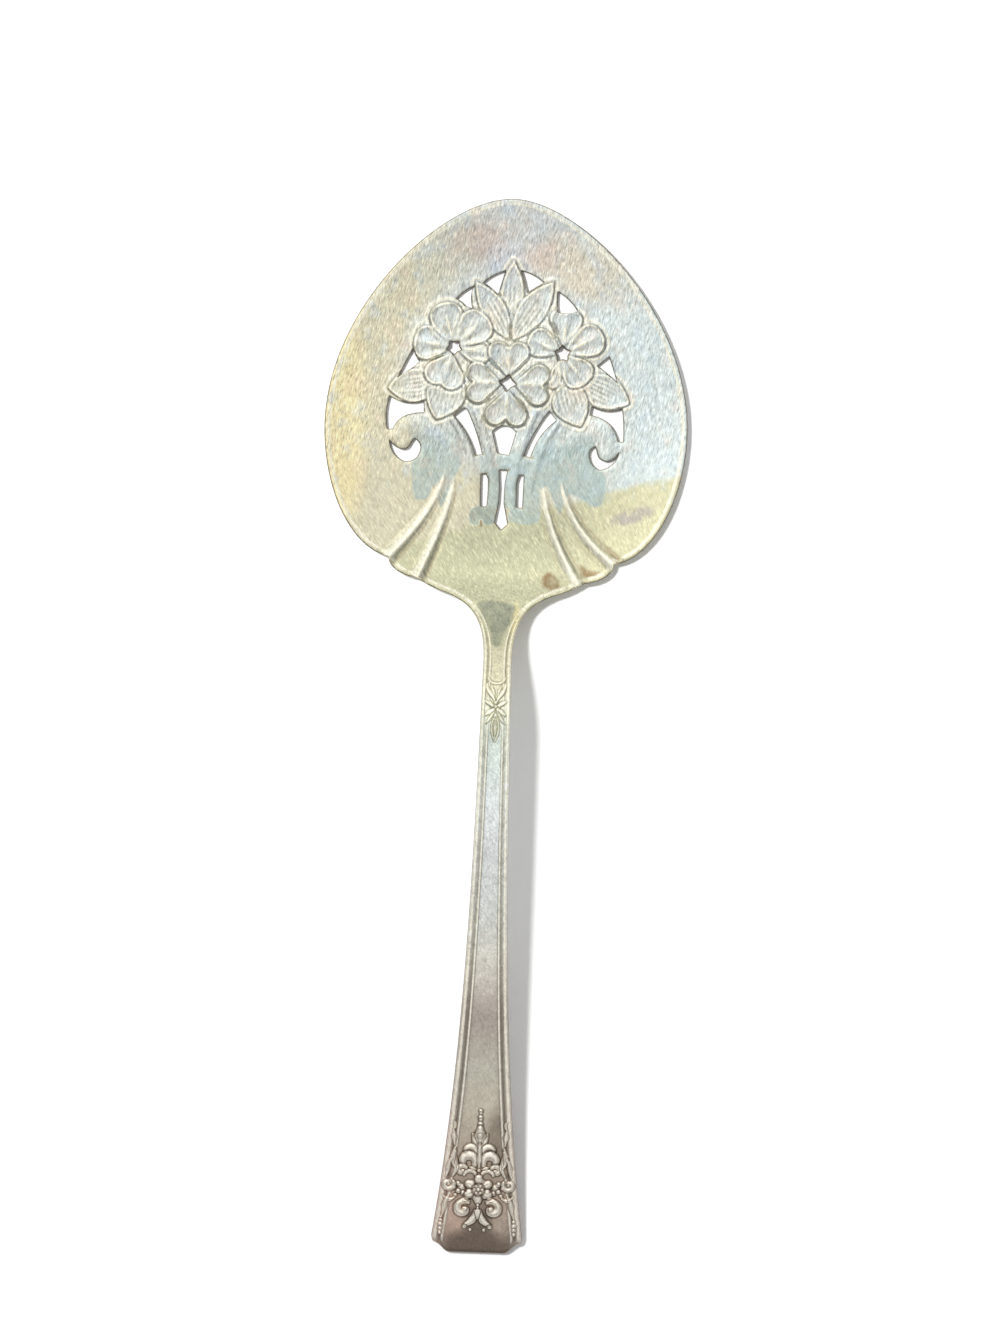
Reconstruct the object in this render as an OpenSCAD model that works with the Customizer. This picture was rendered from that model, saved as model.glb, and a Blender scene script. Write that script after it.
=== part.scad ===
// A pierced tomato server in plated metal, stamped as one piece. It has a broad egg-shaped blade with a
// raised bouquet, a fluted shoulder, an arched neck and a long handle with a moulded border.
// Millimetres. +Y runs to the tip of the blade and +Z is up. The origin is on the underside, in the
// middle of the flat of the blade. Places in the plan are measured from the line where the blade is
// widest, which crosses a little behind the origin.

/* [Blade] */
// Width of the blade where it is widest
blade_w = 68.8; // [64:0.2:76]
// Distance from the widest line forward to the tip of the blade
blade_tip = 43.7; // [41:0.1:48]
// Distance from the widest line back to the inner notch of the fluted shoulder
shoulder_back = 28.8; // [28:0.1:31]
// Thickness of the blade
sheet_t = 1.2; // [0.9:0.05:1.8]
// How far the rim of the blade stands above its flat middle
dish_rise = 1.6; // [0.4:0.1:3]
// Share of the blade from the middle outwards that is flat
dish_flat = 0.62; // [0.5:0.01:0.75]
// How far the edge of the blade is rounded down
rim_round = 0.35; // [0.1:0.05:0.5]
// Distance from the widest line forward to the origin, in the middle of the flat
rest_front = 2.5; // [1.5:0.1:3.2]

/* [Neck and handle] */
// Width of the neck where it is narrowest
neck_w = 5.3; // [4.6:0.1:6.5]
// Distance from the widest line back to the narrowest part of the neck
neck_back = 45.3; // [44:0.1:48]
// Distance from the widest line back to the end of the handle
handle_back = 156.3; // [140:0.1:175]
// Width of the handle near its end
end_w = 17.2; // [14:0.1:20]
// Thickness of the neck
neck_t = 3.3; // [2.6:0.1:4]
// Thickness of the end of the handle
end_t = 2.1; // [1.6:0.1:3]
// Height of the arch under the handle
arch_rise = 12.9; // [8:0.1:18]
// Distance from the widest line back to the top of the arch
arch_back = 56; // [52:0.5:62]
// Half of the flat panel as a share of half of the handle, at the neck
panel_share = 0.4; // [0.3:0.01:0.5]
// The same share at the end of the handle
panel_end_share = 0.72; // [0.6:0.01:0.75]
// How much that share grows where the panel opens towards the blade
panel_flare = 0.26; // [0:0.02:0.3]
// Height of the two beads that border the panel
moulding_rise = 0.26; // [0.1:0.02:0.4]

/* [Flutes] */
// Height of the flutes at the shoulder
flute_rise = 0.65; // [0.3:0.05:1.2]
// Width of the flutes at the shoulder
flute_w = 2.5; // [1.8:0.1:3.2]

/* [Bouquet] */
// Height of the rim of a petal of the middle flower
petal_rise = 0.82; // [0.7:0.02:1.1]
// Height of the rim of a petal of the two side flowers
side_petal_rise = 0.62; // [0.5:0.02:0.7]
// Height of the rim of a front leaf
leaf_rise = 0.42; // [0.34:0.02:0.5]
// How far the cupped middle of a petal or leaf lies below its rim
cup_depth = 0.16; // [0.08:0.01:0.22]
// Height of the stems and of the scrolls
stem_rise = 0.32; // [0.15:0.02:0.5]
// Width of a stem
stem_w = 1.5; // [1:0.1:2]

/* [Handle ornament] */
// Height of the leaves, curls and beads on the handle
ornament_rise = 0.55; // [0.3:0.05:0.8]
// Distance from the end of the handle to the middle of its flower
flower_from_end = 12.6; // [11.6:0.1:14]
// Distance from the widest line back to the small flower on the neck
neck_flower_back = 52.5; // [51:0.1:56]

/* [Part to draw] */
// Which part to draw

/* [Hidden] */
silver = [0.80, 0.79, 0.70];
half_w = blade_w / 2;
neck_h = neck_w / 2;
end_h = end_w / 2;
// the dish is an ellipse, and behind the widest line its half-length is this share of the shoulder's
dish_back = 1.11 * shoulder_back;
neck_start = 0.9 * shoulder_back;
dish_fade = 13;
thick_length = 16;
// the moulding starts this far behind the shoulder and is full after a further length, and the panel
// narrows from its flare over a length of its own
moulding_start = 3;
moulding_fade = 8;
flare_start = 5.2;
flare_fade = 9;
sink = 0.4;
end_taper = 3.4;
end_round = 0.4;

function clamp01(v) = min(1, max(0, v));
function ease(v) = let (c = clamp01(v)) c * c * (3 - 2 * c);
function mix(a, b, t) = a * (1 - t) + b * t;
function bez(p, t) =
    let (s = 1 - t)
    s * s * s * p[0] + 3 * s * s * t * p[1] + 3 * s * t * t * p[2] + t * t * t * p[3];
function bez_run(p, from, to, n) = [for (i = [0 : n]) bez(p, mix(from, to, i / n))];
function turned(p, a) = [p.x * cos(a) - p.y * sin(a), p.x * sin(a) + p.y * cos(a)];
function mirrored(p, side) = [side * p.x, p.y];
// A flat line set down at a place and turned by an angle
function placed(line, at, a) = [for (p = line) at + turned(p, a)];

// Height of the underside: a flat with a dished rim, then the neck's rise and the handle's long fall
function gauge(x, y) = min(1.03, norm([x / half_w, y / (y > 0 ? blade_tip : dish_back)]));
function dish(x, y) = dish_rise * pow(max(0, gauge(x, y) - dish_flat) / (1 - dish_flat), 2);
function arch(y) =
    -y < arch_back
    ? arch_rise * ease((-y - neck_start) / (arch_back - neck_start))
    : arch_rise * (1 - pow((-y - arch_back) / (handle_back - arch_back), 2));
function under_z(x, y) = dish(x, y) * (1 - ease((-y - shoulder_back) / dish_fade)) + arch(y);
function thick(y) =
    let (neck = ease((-y - shoulder_back) / thick_length))
    let (run = clamp01((-y - neck_back) / (handle_back - neck_back)))
    sheet_t + (mix(neck_t, end_t, run) - sheet_t) * neck;
function face_z(x, y) = under_z(x, y) + thick(y);
function lift(p, h) = [p.x, p.y, face_z(p.x, p.y) + h];

// Half of the outline as [half-width, y], from the tip of the blade to the end of the handle
egg = [[0, blade_tip], [0.378 * half_w, blade_tip], [half_w, 0.522 * blade_tip], [half_w, 0]];
flank = [[half_w, 0], [half_w, -0.38 * shoulder_back], [0.858 * half_w, -0.8 * shoulder_back],
    [0.628 * half_w, -0.865 * shoulder_back]];
lobe = [[0.622 * half_w, -0.868 * shoulder_back], [0.616 * half_w, -0.93 * shoulder_back],
    [0.561 * half_w, -0.983 * shoulder_back], [0.462 * half_w, -shoulder_back]];
brow = [[0.45 * half_w, -1.005 * shoulder_back], [0.416 * half_w, -1.031 * shoulder_back],
    [0.381 * half_w, -1.056 * shoulder_back], [0.311 * half_w, -1.083 * shoulder_back]];
throat = [[0.311 * half_w, -1.083 * shoulder_back], [0.154 * half_w, -1.149 * shoulder_back],
    [neck_h - 0.3, -1.25 * shoulder_back], [neck_h, -neck_back]];
function grip_w(v) = neck_h + (end_h - neck_h) * (0.27 * v + 0.73 * pow(v, 3.2));
grip_end = handle_back - end_taper;
grip_rows = 15;
grip = [for (i = [1 : grip_rows]) let (v = i / grip_rows) [grip_w(v), -mix(neck_back, grip_end, v)]];
stations = concat(bez_run(egg, 0.03, 1, 12), bez_run(flank, 0.14, 1, 7), bez_run(lobe, 0.25, 1, 3),
    bez_run(brow, 0, 1, 2), bez_run(throat, 0.12, 1, 8), grip,
    [[end_h, end_round - handle_back], [end_h, -handle_back]]);

// Sections, from the edge inwards: shares of the half-width on the blade, and on the handle shares of the
// band beside the panel, each with the height over the face
blade_share = [1, 0.985, 0.95, 0.88, 0.79, 0.68, 0.5, 0.25];
blade_lift = [-rim_round, 0, 0, 0, 0, 0, 0, 0];
band_share = [1, 0.93, 0.8, 0.62, 0.5, 0.38, 0.08, 0];
band_lift = [-0.8, -0.1, moulding_rise, 0.7 * moulding_rise, -0.3 * moulding_rise, 0.9 * moulding_rise,
    0.9 * moulding_rise, 0];
low_share = [0.5, 0.85, 1];
low_blade_lift = [0, 0, 0.15];
low_grip_lift = [0, 0.1, 0.65];
function panel(y) =
    let (run = clamp01((-y - neck_back) / (grip_end - neck_back)))
    let (flare = panel_flare * (1 - ease((-y - shoulder_back - flare_start) / flare_fade)))
    mix(panel_share, panel_end_share, pow(run, 2)) + flare;
function section(w, y) =
    let (g = ease((-y - shoulder_back - moulding_start) / moulding_fade))
    let (p = panel(y))
    let (drop = y < 0.5 * end_round - handle_back ? end_round : 0)
    let (top = [for (i = [0 : 7])
        [mix(blade_share[i], mix(p, 1, band_share[i]), g) * w,
            mix(blade_lift[i], band_lift[i], g) - drop * (1 - i / 10)]])
    let (low = [for (i = [0 : 2]) [low_share[i] * w, mix(low_blade_lift[i], low_grip_lift[i], g)]])
    let (right = concat(
        [for (r = low) [r.x, y, under_z(r.x, y) + r.y]],
        [for (r = top) [r.x, y, face_z(r.x, y) + r.y]]))
    concat(right, [for (i = [len(right) - 1 : -1 : 0]) [-right[i].x, y, right[i].z]]);

// Half of the cut corner of the end, as inset from the widest and distance from the end
corner = [[-0.5, 3.1], [0.15, 2.4], [0.5, 1.95], [1.3, 1.6], [2.5, 0.45], [2.9, 0.12], [3.8, -0.35]];
module end_corners() {
    for (side = [-1, 1])
        translate([0, 0, -end_t]) linear_extrude(4 * end_t)
            polygon(concat([for (c = corner) [side * (end_h - c[0]), c[1] - handle_back]],
                [[side * (end_h - 3.8), -handle_back - 2], [side * (end_h + 2), -handle_back - 2],
                    [side * (end_h + 2), 3.1 - handle_back]]));
}

// A closed loft through rings of equal length, counter-clockwise seen from beyond the last ring
module lofted(rings, low, high) {
    n = len(rings[0]);
    k = len(rings);
    points = concat([for (r = rings) each r], [low, high]);
    walls = [for (i = [0 : k - 2], j = [0 : n - 1])
        let (q = (j + 1) % n)
        each [[i * n + j, (i + 1) * n + j, (i + 1) * n + q], [i * n + j, (i + 1) * n + q, i * n + q]]];
    ends = [for (j = [0 : n - 1])
        let (q = (j + 1) % n)
        each [[k * n, j, q], [k * n + 1, (k - 1) * n + q, (k - 1) * n + j]]];
    polyhedron(points, concat(walls, ends));
}

module body() {
    rings = [for (s = stations) section(s[0], s[1])];
    first = stations[0];
    last = stations[len(stations) - 1];
    lofted(rings, [0, first[1], under_z(0, first[1]) + sheet_t / 2],
        [0, last[1], under_z(0, last[1]) + end_t / 2]);
}

// A raised form over a plan outline: rows hold a share of the outline and a height over the face
module raised(line, middle, rows, crown) {
    rings = [for (r = rows) [for (p = line) lift(middle + r[0] * (p - middle), r[1])]];
    lofted(rings, lift(middle, -sink), lift(middle, crown));
}

// Plan of a round petal from the middle of its flower outwards, widest towards its tip
function petal_line(reach, w, n) =
    [for (i = [0 : n - 1])
        let (a = 360 * (i + 0.5) / n)
        let (u = (1 - cos(a)) / 2)
        [reach * u, -1.33 * w * sin(a) * pow(u, 0.6)]];
// Plan of a heart-shaped petal: two round lobes with straight sides to the middle of its flower
function heart_line(reach, w, lobe_r, n) =
    let (c = w - lobe_r, h = reach - lobe_r)
    let (d = norm([h, c]))
    let (from = -asin(c / lobe_r), to = 90 + atan2(c, h) + asin(lobe_r / d))
    let (arc = [for (i = [0 : n])
        let (a = mix(from, to, i / n))
        [h + lobe_r * cos(a), c + lobe_r * sin(a)]])
    concat([[0.1 * reach, 0]], [for (i = [n : -1 : 1]) [arc[i].x, -arc[i].y]], arc);
// Plan of a leaf from its base to its tip, with a sideways bend
function leaf_line(reach, w, bend, n) =
    [for (i = [0 : n - 1])
        let (a = 360 * i / n)
        let (u = (1 - cos(a)) / 2)
        let (v = pow(max(0, sin(180 * u)), 0.8) * (a < 180 ? -1 : 1))
        [reach * u, w * v + bend * sin(180 * u)]];

// A notched petal states the radius of its lobes, and a round one states 0
module petal(at, a, reach, w, lobe_r, rise) {
    line = placed(lobe_r > 0 ? heart_line(reach, w, lobe_r, 6) : petal_line(reach, w, 14), at, a);
    raised(line, at + turned([0.6 * reach, 0], a),
        [[1, -sink], [0.97, 0.9 * rise], [0.89, rise], [0.8, rise - cup_depth]], rise - cup_depth);
}

module leaf(from, to, w, bend, rise) {
    d = to - from;
    line = placed(leaf_line(norm(d), w, bend, 12), from, atan2(d.y, d.x));
    middle = from + 0.5 * d + turned([0, bend], atan2(d.y, d.x));
    raised(line, middle,
        [[1, -sink], [0.96, 0.9 * rise], [0.87, rise], [0.77, rise - cup_depth]], rise - 0.5 * cup_depth);
}

// Ridge along a curve. Sizes hold half-width and height at its start, middle and end
function ridge_size(sizes, t) =
    t < 0.5 ? mix(sizes[0], sizes[1], 2 * t) : mix(sizes[1], sizes[2], 2 * t - 1);
module ridge(curve, sizes, n) {
    line = bez_run(curve, 0, 1, n);
    rings = [for (i = [0 : n])
        let (d = line[min(n, i + 1)] - line[max(0, i - 1)])
        let (side = [-d.y, d.x] / norm(d))
        let (s = ridge_size(sizes, i / n))
        [lift(line[i] + s[0] * side, -sink), lift(line[i] + 0.55 * s[0] * side, 0.85 * s[1]),
            lift(line[i], s[1]), lift(line[i] - 0.6 * s[0] * side, 0.75 * s[1]),
            lift(line[i] - s[0] * side, -sink)]];
    lofted(rings, lift(line[0], -sink / 2), lift(line[n], -sink / 2));
}

// Small ornament: a bead, a leaflet and a curl, given on both sides of the middle where side is -1 and 1
module bead(at, r) {
    line = [for (i = [0 : 5]) at + turned([r, 0], 60 * i)];
    hull() raised(line, at, [[1, -sink], [0.7, 0.75 * min(ornament_rise, r)]], min(ornament_rise, r));
}
module leaflet(from, to, w, rise) {
    d = to - from;
    line = placed(leaf_line(norm(d), w, 0, 8), from, atan2(d.y, d.x));
    hull() raised(line, mix(from, to, 0.55), [[1, -sink], [0.6, 0.8 * rise]], rise);
}
module curl(centre, r, from, to, w, side) {
    n = 5;
    rings = [for (i = [0 : n])
        let (a = mix(from, to, i / n))
        let (s = w * (i == 0 || i == n ? 0.45 : 1))
        let (rr = r * mix(1, 0.8, i / n))
        [for (q = [[s, -sink], [0.35 * s, ornament_rise], [-0.45 * s, 0.8 * ornament_rise], [-s, -sink]])
            lift(centre + mirrored(turned([rr + q[0], 0], a), side), q[1])]];
    ordered = side * (to - from) > 0 ? [for (r = rings) [r[3], r[2], r[1], r[0]]] : rings;
    lofted(ordered, lift(centre + mirrored(turned([r, 0], from), side), -sink / 2),
        lift(centre + mirrored(turned([0.8 * r, 0], to), side), -sink / 2));
}

// Flowers: middle, then [direction, reach, half-width, radius of the lobes] of each petal
middle_flower = [[0, 8.8],
    [[90, 8, 4.1, 2.2], [-2, 8, 4.1, 2.2], [-91, 8.3, 4.2, 2.2], [181, 7.9, 4.1, 2.2]]];
left_flower = [[-10.4, 15.2],
    [[106, 8.9, 3.4, 0], [172, 7.9, 3.5, 0], [-108, 8.1, 4, 2.5], [46, 8.7, 3.6, 0], [-8, 7.2, 2.6, 0]]];
right_flower = [[10.2, 14.7],
    [[86, 8.5, 3.3, 2], [28, 8.7, 3.3, 0], [-50, 7.4, 3.3, 0], [-105, 7.1, 1.4, 0], [156, 7.3, 3, 0]]];
// Leaves: base, tip, half-width, bend, share of the height of a front leaf
leaves = [
    [[0.2, 19], [0.4, 32.2], 2.4, 0, 0.62],
    [[0.1, 16.8], [-6.8, 28], 2.5, -0.3, 1],
    [[0.5, 16.8], [8.2, 28.4], 2.8, 0.2, 1],
    [[-12.5, 8.8], [-22.8, 7], 3.4, 0.2, 0.62],
    [[-10.5, 12], [-13.4, 1.2], 3.9, 0.4, 1],
    [[13.2, 10], [23.4, 5.6], 3.4, 0, 0.62],
    [[10.8, 10.5], [14.2, 0.8], 3.6, -0.6, 1]];
// Stems and scrolls
stems = [
    [[-10.2, 1.6], [-6.5, -3.5], [-5.4, -8], [-5.4, -15.5]],
    [[-5.8, 3.2], [-3.4, -2.5], [-2.1, -7], [-1.95, -16.5]],
    [[5.4, 3.2], [3.2, -2.5], [1.6, -7], [1.5, -16.5]],
    [[9.6, 1.4], [6.6, -3], [4.9, -8], [4.75, -15.5]]];
scrolls = [
    [[-10.4, -7], [-11.5, 0.5], [-20.8, 3.6], [-19.3, -4]],
    [[10.4, -7], [11.5, 0.5], [20.6, 3.8], [19, -4.8]]];
// Flutes of the shoulder, from the stems out to the notches
flutes = [
    [[-11, -7.5], [-12.3, -14.5], [-16.5, -19.5], [-0.632 * half_w, -0.885 * shoulder_back]],
    [[-9.2, -8], [-10, -16], [-13.2, -22.5], [-0.47 * half_w, -1.03 * shoulder_back]],
    [[7.4, -9], [7.8, -16.5], [11.2, -23.5], [0.447 * half_w, -1.035 * shoulder_back]],
    [[10.6, -8], [11.6, -15.5], [16, -21], [0.64 * half_w, -0.885 * shoulder_back]]];

// Piercings: corners counter-clockwise, each with the outward bow of the edge to the next corner
cuts = [
    [[-5.2, 27.8, -0.15], [-2.5, 25.5, 0], [-1.2, 30.1, 0.25]],
    [[3.1, 26.1, -0.1], [6.2, 28.1, 0.3], [1.9, 30.2, -0.15]],
    [[-10.3, 24.5, -0.2], [-8.6, 23.2, 0], [-7.2, 22.8, -0.4], [-7.1, 27, 0.2]],
    [[9, 22.6, 0.35], [12.8, 22.9, 0.35], [8.9, 26.5, 0]],
    [[-20.9, 9.2, 0], [-18.2, 11.1, 0], [-16.9, 12.3, -0.2], [-18.1, 14.8, 0]],
    [[17, 12.7, 0], [19, 11.2, 0], [20.8, 9.6, 0], [19.1, 14.5, 0]],
    [[-22.5, -0.7, 0], [-21.5, -0.6, -0.65], [-18, 2.4, -0.1], [-15.7, 2.7, 0], [-15.8, 4.9, -0.85],
        [-22.3, 5.6, 0.35]],
    [[22.3, -1.6, 0.15], [21.9, 4.7, -0.7], [16.1, 4.9, 0], [15.9, 3.3, -1.3], [21.4, -1.5, 0]],
    [[-22, -2.8, 0.75], [-19, -6.7, 0.8], [-16.1, -4.2, 0.35], [-17.3, -2.3, 0], [-17.9, -3.2, -0.35],
        [-19.6, -4.45, -0.3]],
    [[17.1, -2.6, 0.35], [16, -4.3, 0.55], [18.1, -7, 0.8], [21.6, -3.6, -0.4], [19.3, -5.4, -0.4],
        [17.5, -4.1, 0]],
    [[-10, 2.3, -0.6], [-5.6, -5.1, 0], [-4.4, -4.8, 0.25], [-7.5, 3.5, 0], [-8.2, 3.8, 0]],
    [[8.1, 3.8, 0.4], [3.6, -4.9, 0], [4.8, -5.1, -0.75], [9.5, 2.1, 0]],
    [[-1.4, -4.5, 0], [0.7, -4.8, 0], [1.9, -0.4, 1.1], [-2.5, -0.4, 0]],
    [[-4.3, -14.6, 0.15], [-3.2, -14.6, 0.1], [-3.1, -9.5, 0], [-3.5, -8.5, 0], [-4.4, -8.6, 0]],
    [[2.5, -14.6, 0.1], [3.6, -14.7, 0], [3.7, -8.6, 0], [2.9, -8.6, 0], [2.5, -10, 0]],
    [[-0.3, -19.1, 0], [0.9, -17.9, 0], [0.05, -14, 0], [0.1, -10.4, 0], [0.55, -7.7, 0], [-1, -7.7, 0],
        [-0.75, -11, 0], [-0.85, -14, 0], [-1.5, -17.7, 0]]];
function bowed(a, b, bow, n) =
    let (d = [b[0] - a[0], b[1] - a[1]])
    let (out = [d.y, -d.x] / norm(d))
    [for (i = [0 : n - 1])
        let (t = i / n)
        [a[0], a[1]] + t * d + 4 * bow * t * (1 - t) * out];
function cut_line(c) = [for (i = [0 : len(c) - 1])
    each bowed(c[i], c[(i + 1) % len(c)], c[i][2], abs(c[i][2]) > 0.5 ? 4 : abs(c[i][2]) > 0 ? 2 : 1)];
// Star holes of the flowers: middle, points, radius to a point, radius between, turn
stars = [
    [left_flower[0], 5, 1.45, 0.95, 54],
    [middle_flower[0], 4, 1.65, 0.95, -8],
    [right_flower[0], 5, 1.55, 1, 20]];
// the cutters start 1 mm under the blade and reach past its highest relief
cut_depth = 1 + dish_rise + sheet_t + petal_rise + 0.5 * arch_rise;
module piercings() {
    translate([0, 0, -1]) linear_extrude(cut_depth) {
        for (c = cuts) polygon(cut_line(c));
        for (s = stars)
            polygon([for (i = [0 : 2 * s[1] - 1])
                s[0] + turned([i % 2 == 0 ? s[2] : s[3], 0], s[4] + 180 * i / s[1])]);
    }
}

module flower(f, rise) {
    for (p = f[1]) petal(f[0], p[0], p[1], p[2], p[3], rise);
}
module bouquet() {
    flower(middle_flower, petal_rise);
    flower(left_flower, side_petal_rise);
    flower(right_flower, side_petal_rise);
    for (l = leaves) leaf(l[0], l[1], l[2], l[3], l[4] * leaf_rise);
    for (s = stems) ridge(s, [[stem_w / 2, stem_rise], [stem_w / 2, stem_rise], [0.3 * stem_w, 0.05]], 6);
    for (s = scrolls) ridge(s, [[0.5, 0.05], [2.4, stem_rise], [1.6, stem_rise]], 9);
}
// The flutes run out over the edge of the shoulder and are cut a hair inside it
edge_gap = 0.05;
module shoulder_flutes() {
    flute_sizes = [[0.2 * flute_w, 0.04], [0.36 * flute_w, 0.55 * flute_rise], [0.5 * flute_w, flute_rise]];
    edge = concat(bez_run(flank, 0, 1, 7), bez_run(lobe, 0.25, 1, 3), bez_run(brow, 0, 1, 2));
    intersection() {
        for (f = flutes) ridge(f, flute_sizes, 9);
        translate([0, 0, -1]) linear_extrude(cut_depth)
            polygon(concat([for (p = edge) [p[0] - edge_gap, p[1] + edge_gap]],
                [for (i = [len(edge) - 1 : -1 : 0]) [edge_gap - edge[i][0], edge[i][1] + edge_gap]]));
    }
}

// Ornament of the neck: four leaflets, a small flower with two side leaves, and a pendant
module neck_ornament() {
    at = [0, -neck_flower_back];
    bead(at, 0.42);
    for (a = [45 : 90 : 315]) leaflet(at, at + turned([1.35, 0], a), 0.45, 0.7 * ornament_rise);
    for (side = [-1, 1]) {
        leaflet(at + [0.1 * side, 1.1], at + [1.35 * side, 3.9], 0.42, 0.7 * ornament_rise);
        leaflet(at + [0.1 * side, -0.9], at + [1.5 * side, -1.6], 0.35, 0.6 * ornament_rise);
    }
    leaflet(at - [0, 1.6], at - [0, 6.2], 0.55, 0.8 * ornament_rise);
    ridge([at + [-1.4, 5.4], at + [-1.2, 4.2], at + [1.2, 4.2], at + [1.4, 5.4]],
        [[0.2, 0.5 * ornament_rise], [0.25, 0.5 * ornament_rise], [0.2, 0.5 * ornament_rise]], 5);
}

// Ornament of the end: beads and a palmette over a flower, with scrolls round it
module end_ornament() {
    at = [0, flower_from_end - handle_back];
    bead(at, 0.5);
    for (i = [0 : 5])
        leaflet(at, at + turned([2.4, 0], 60 * i + 30), 1.08, (i % 2 == 0 ? 0.86 : 0.8) * ornament_rise);
    bead(at + [0, 14.6], 0.42);
    bead(at + [0, 13.3], 0.5);
    bead(at + [0, 11.9], 0.58);
    leaflet(at + [0, 8.4], at + [0, 11.4], 0.95, ornament_rise);
    leaflet(at + [0, 2.6], at + [0, 6.4], 0.6, 0.8 * ornament_rise);
    leaflet(at - [0, 2.6], at - [0, 5.6], 0.65, ornament_rise);
    for (side = [-1, 1]) {
        leaflet(at + [0.15 * side, 7.6], at + [1.4 * side, 9.8], 0.5, 0.9 * ornament_rise);
        curl(at + [1.65 * side, 7.35], 0.95, 0, 190, 0.52, side);
        curl(at + [1.95 * side, 5.4], 1.15, 0, 190, 0.62, side);
        curl(at + [3.1 * side, 3.7], 0.85, -40, 150, 0.48, side);
        curl(at + [1.6 * side, 2.15], 1, 15, 165, 0.38, side);
        leaflet(at + [2.2 * side, 0.1], at + [4.3 * side, 0.7], 0.6, 0.8 * ornament_rise);
        leaflet(at + [2.2 * side, 0], at + [4.2 * side, -0.7], 0.5, 0.7 * ornament_rise);
        curl(at + [5.4 * side, 1.1], 0.75, 200, -90, 0.4, side);
        curl(at + [2.7 * side, -3.6], 1.3, 120, -130, 0.6, side);
        leaflet(at + [0.3 * side, -4.6], at + [2.4 * side, -7.3], 0.68, 0.9 * ornament_rise);
        curl(at + [6.3 * side, 5], 1.6, 150, 250, 0.4, side);
        leaflet(at + [4.9 * side, 8.2], at + [5 * side, 11.6], 0.45, 0.8 * ornament_rise);
        leaflet(at + [6 * side, -1.2], at + [6.7 * side, -4.9], 0.5, 0.7 * ornament_rise);
        bead(at + [6.9 * side, -7.2], 0.5);
    }
}

module server() {
    color(silver) translate([0, -rest_front, 0]) difference() {
        union() {
            body();
            bouquet();
            shoulder_flutes();
            neck_ornament();
            end_ornament();
        }
        piercings();
        end_corners();
    }
}

server();
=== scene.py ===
"""A worn silver-plate tomato server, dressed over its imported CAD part.

The plan lines and heights below are in millimetres and repeat the part's own, with the fine relief added:
double rims, ribs, grooves and the small carving of the handle.
"""

import math

import bmesh
import bpy
import numpy as np
from bpy.props import FloatProperty, FloatVectorProperty, PointerProperty
from mathutils import Matrix, Vector
from mathutils.geometry import delaunay_2d_cdt


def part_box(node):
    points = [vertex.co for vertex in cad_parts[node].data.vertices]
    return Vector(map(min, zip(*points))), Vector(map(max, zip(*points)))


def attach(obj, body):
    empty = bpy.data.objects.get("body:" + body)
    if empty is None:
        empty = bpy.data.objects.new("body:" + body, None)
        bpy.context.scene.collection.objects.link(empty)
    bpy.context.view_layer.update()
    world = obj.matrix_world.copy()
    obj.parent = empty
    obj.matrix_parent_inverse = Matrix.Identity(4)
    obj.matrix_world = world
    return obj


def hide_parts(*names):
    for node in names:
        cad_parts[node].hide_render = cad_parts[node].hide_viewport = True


bl_info = {
    "name": "Tomato Server",
    "version": (1, 0, 0),
    "blender": (4, 5, 0),
    "location": "View3D > Sidebar > Server",
    "description": "Builds a pierced tomato server in worn silver plate and its studio",
    "category": "Object",
}

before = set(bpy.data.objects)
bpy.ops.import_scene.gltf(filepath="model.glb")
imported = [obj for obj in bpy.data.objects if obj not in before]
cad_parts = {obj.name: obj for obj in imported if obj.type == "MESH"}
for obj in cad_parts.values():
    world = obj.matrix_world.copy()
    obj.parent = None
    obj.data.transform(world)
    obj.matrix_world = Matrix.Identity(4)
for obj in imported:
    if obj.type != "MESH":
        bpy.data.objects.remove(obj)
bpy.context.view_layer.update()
LOW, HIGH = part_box("server")
MM = 0.001

# Places in the plan are measured from the widest line of the blade, this far behind the frame's origin
REST_FRONT = 2.5

# Driving sizes, taken from the frame
HALF_W = HIGH.x / MM
BLADE_TIP = HIGH.y / MM + REST_FRONT
HANDLE_BACK = -LOW.y / MM - REST_FRONT

# Sizes that the frame doesn't show, as the part has them
SHOULDER = 28.8
SHEET_T = 1.2
DISH_RISE = 1.6
DISH_FLAT = 0.62
DISH_BACK = 1.11 * SHOULDER
NECK_H = 2.65
NECK_BACK = 45.3
END_H = 8.6
NECK_T = 3.3
END_T = 2.1
ARCH_RISE = 12.9
ARCH_BACK = 56.0
NECK_START = 0.9 * SHOULDER
GRIP_END = HANDLE_BACK - 3.4
BAND_START = 31.8
BAND_RUN = 8.0
PANEL_SHARE = 0.4
PANEL_END_SHARE = 0.72
MOULDING = 0.26
FLOWER_Y = 12.6 - HANDLE_BACK
NECK_FLOWER_Y = -52.5


def linear(code):
    """An sRGB hex colour as a linear RGBA tuple."""
    parts = [int(code[i:i + 2], 16) / 255 for i in (1, 3, 5)]
    return tuple(c / 12.92 if c <= 0.04045 else ((c + 0.055) / 1.055) ** 2.4 for c in parts) + (1.0,)


class ServerSizes(bpy.types.PropertyGroup):
    """Sizes of the server that a user would change."""
    rim_roll: FloatProperty(
        name="Rim roll", description="How far the edge of the blade is rounded down",
        default=0.35 * MM, min=0.0, max=0.0006, unit="LENGTH")
    rib_height: FloatProperty(
        name="Rib height", description="Height of the ribs of the leaves and petals",
        default=0.06 * MM, min=0.0, max=0.0002, unit="LENGTH")
    bouquet_step: FloatProperty(
        name="Bouquet step", description="Spacing of the mesh in the bouquet",
        default=0.29 * MM, min=0.0002, max=0.001, unit="LENGTH")
    carving_step: FloatProperty(
        name="Carving step", description="Spacing of the mesh in the carving of the handle",
        default=0.115 * MM, min=0.0001, max=0.0006, unit="LENGTH")


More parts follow.
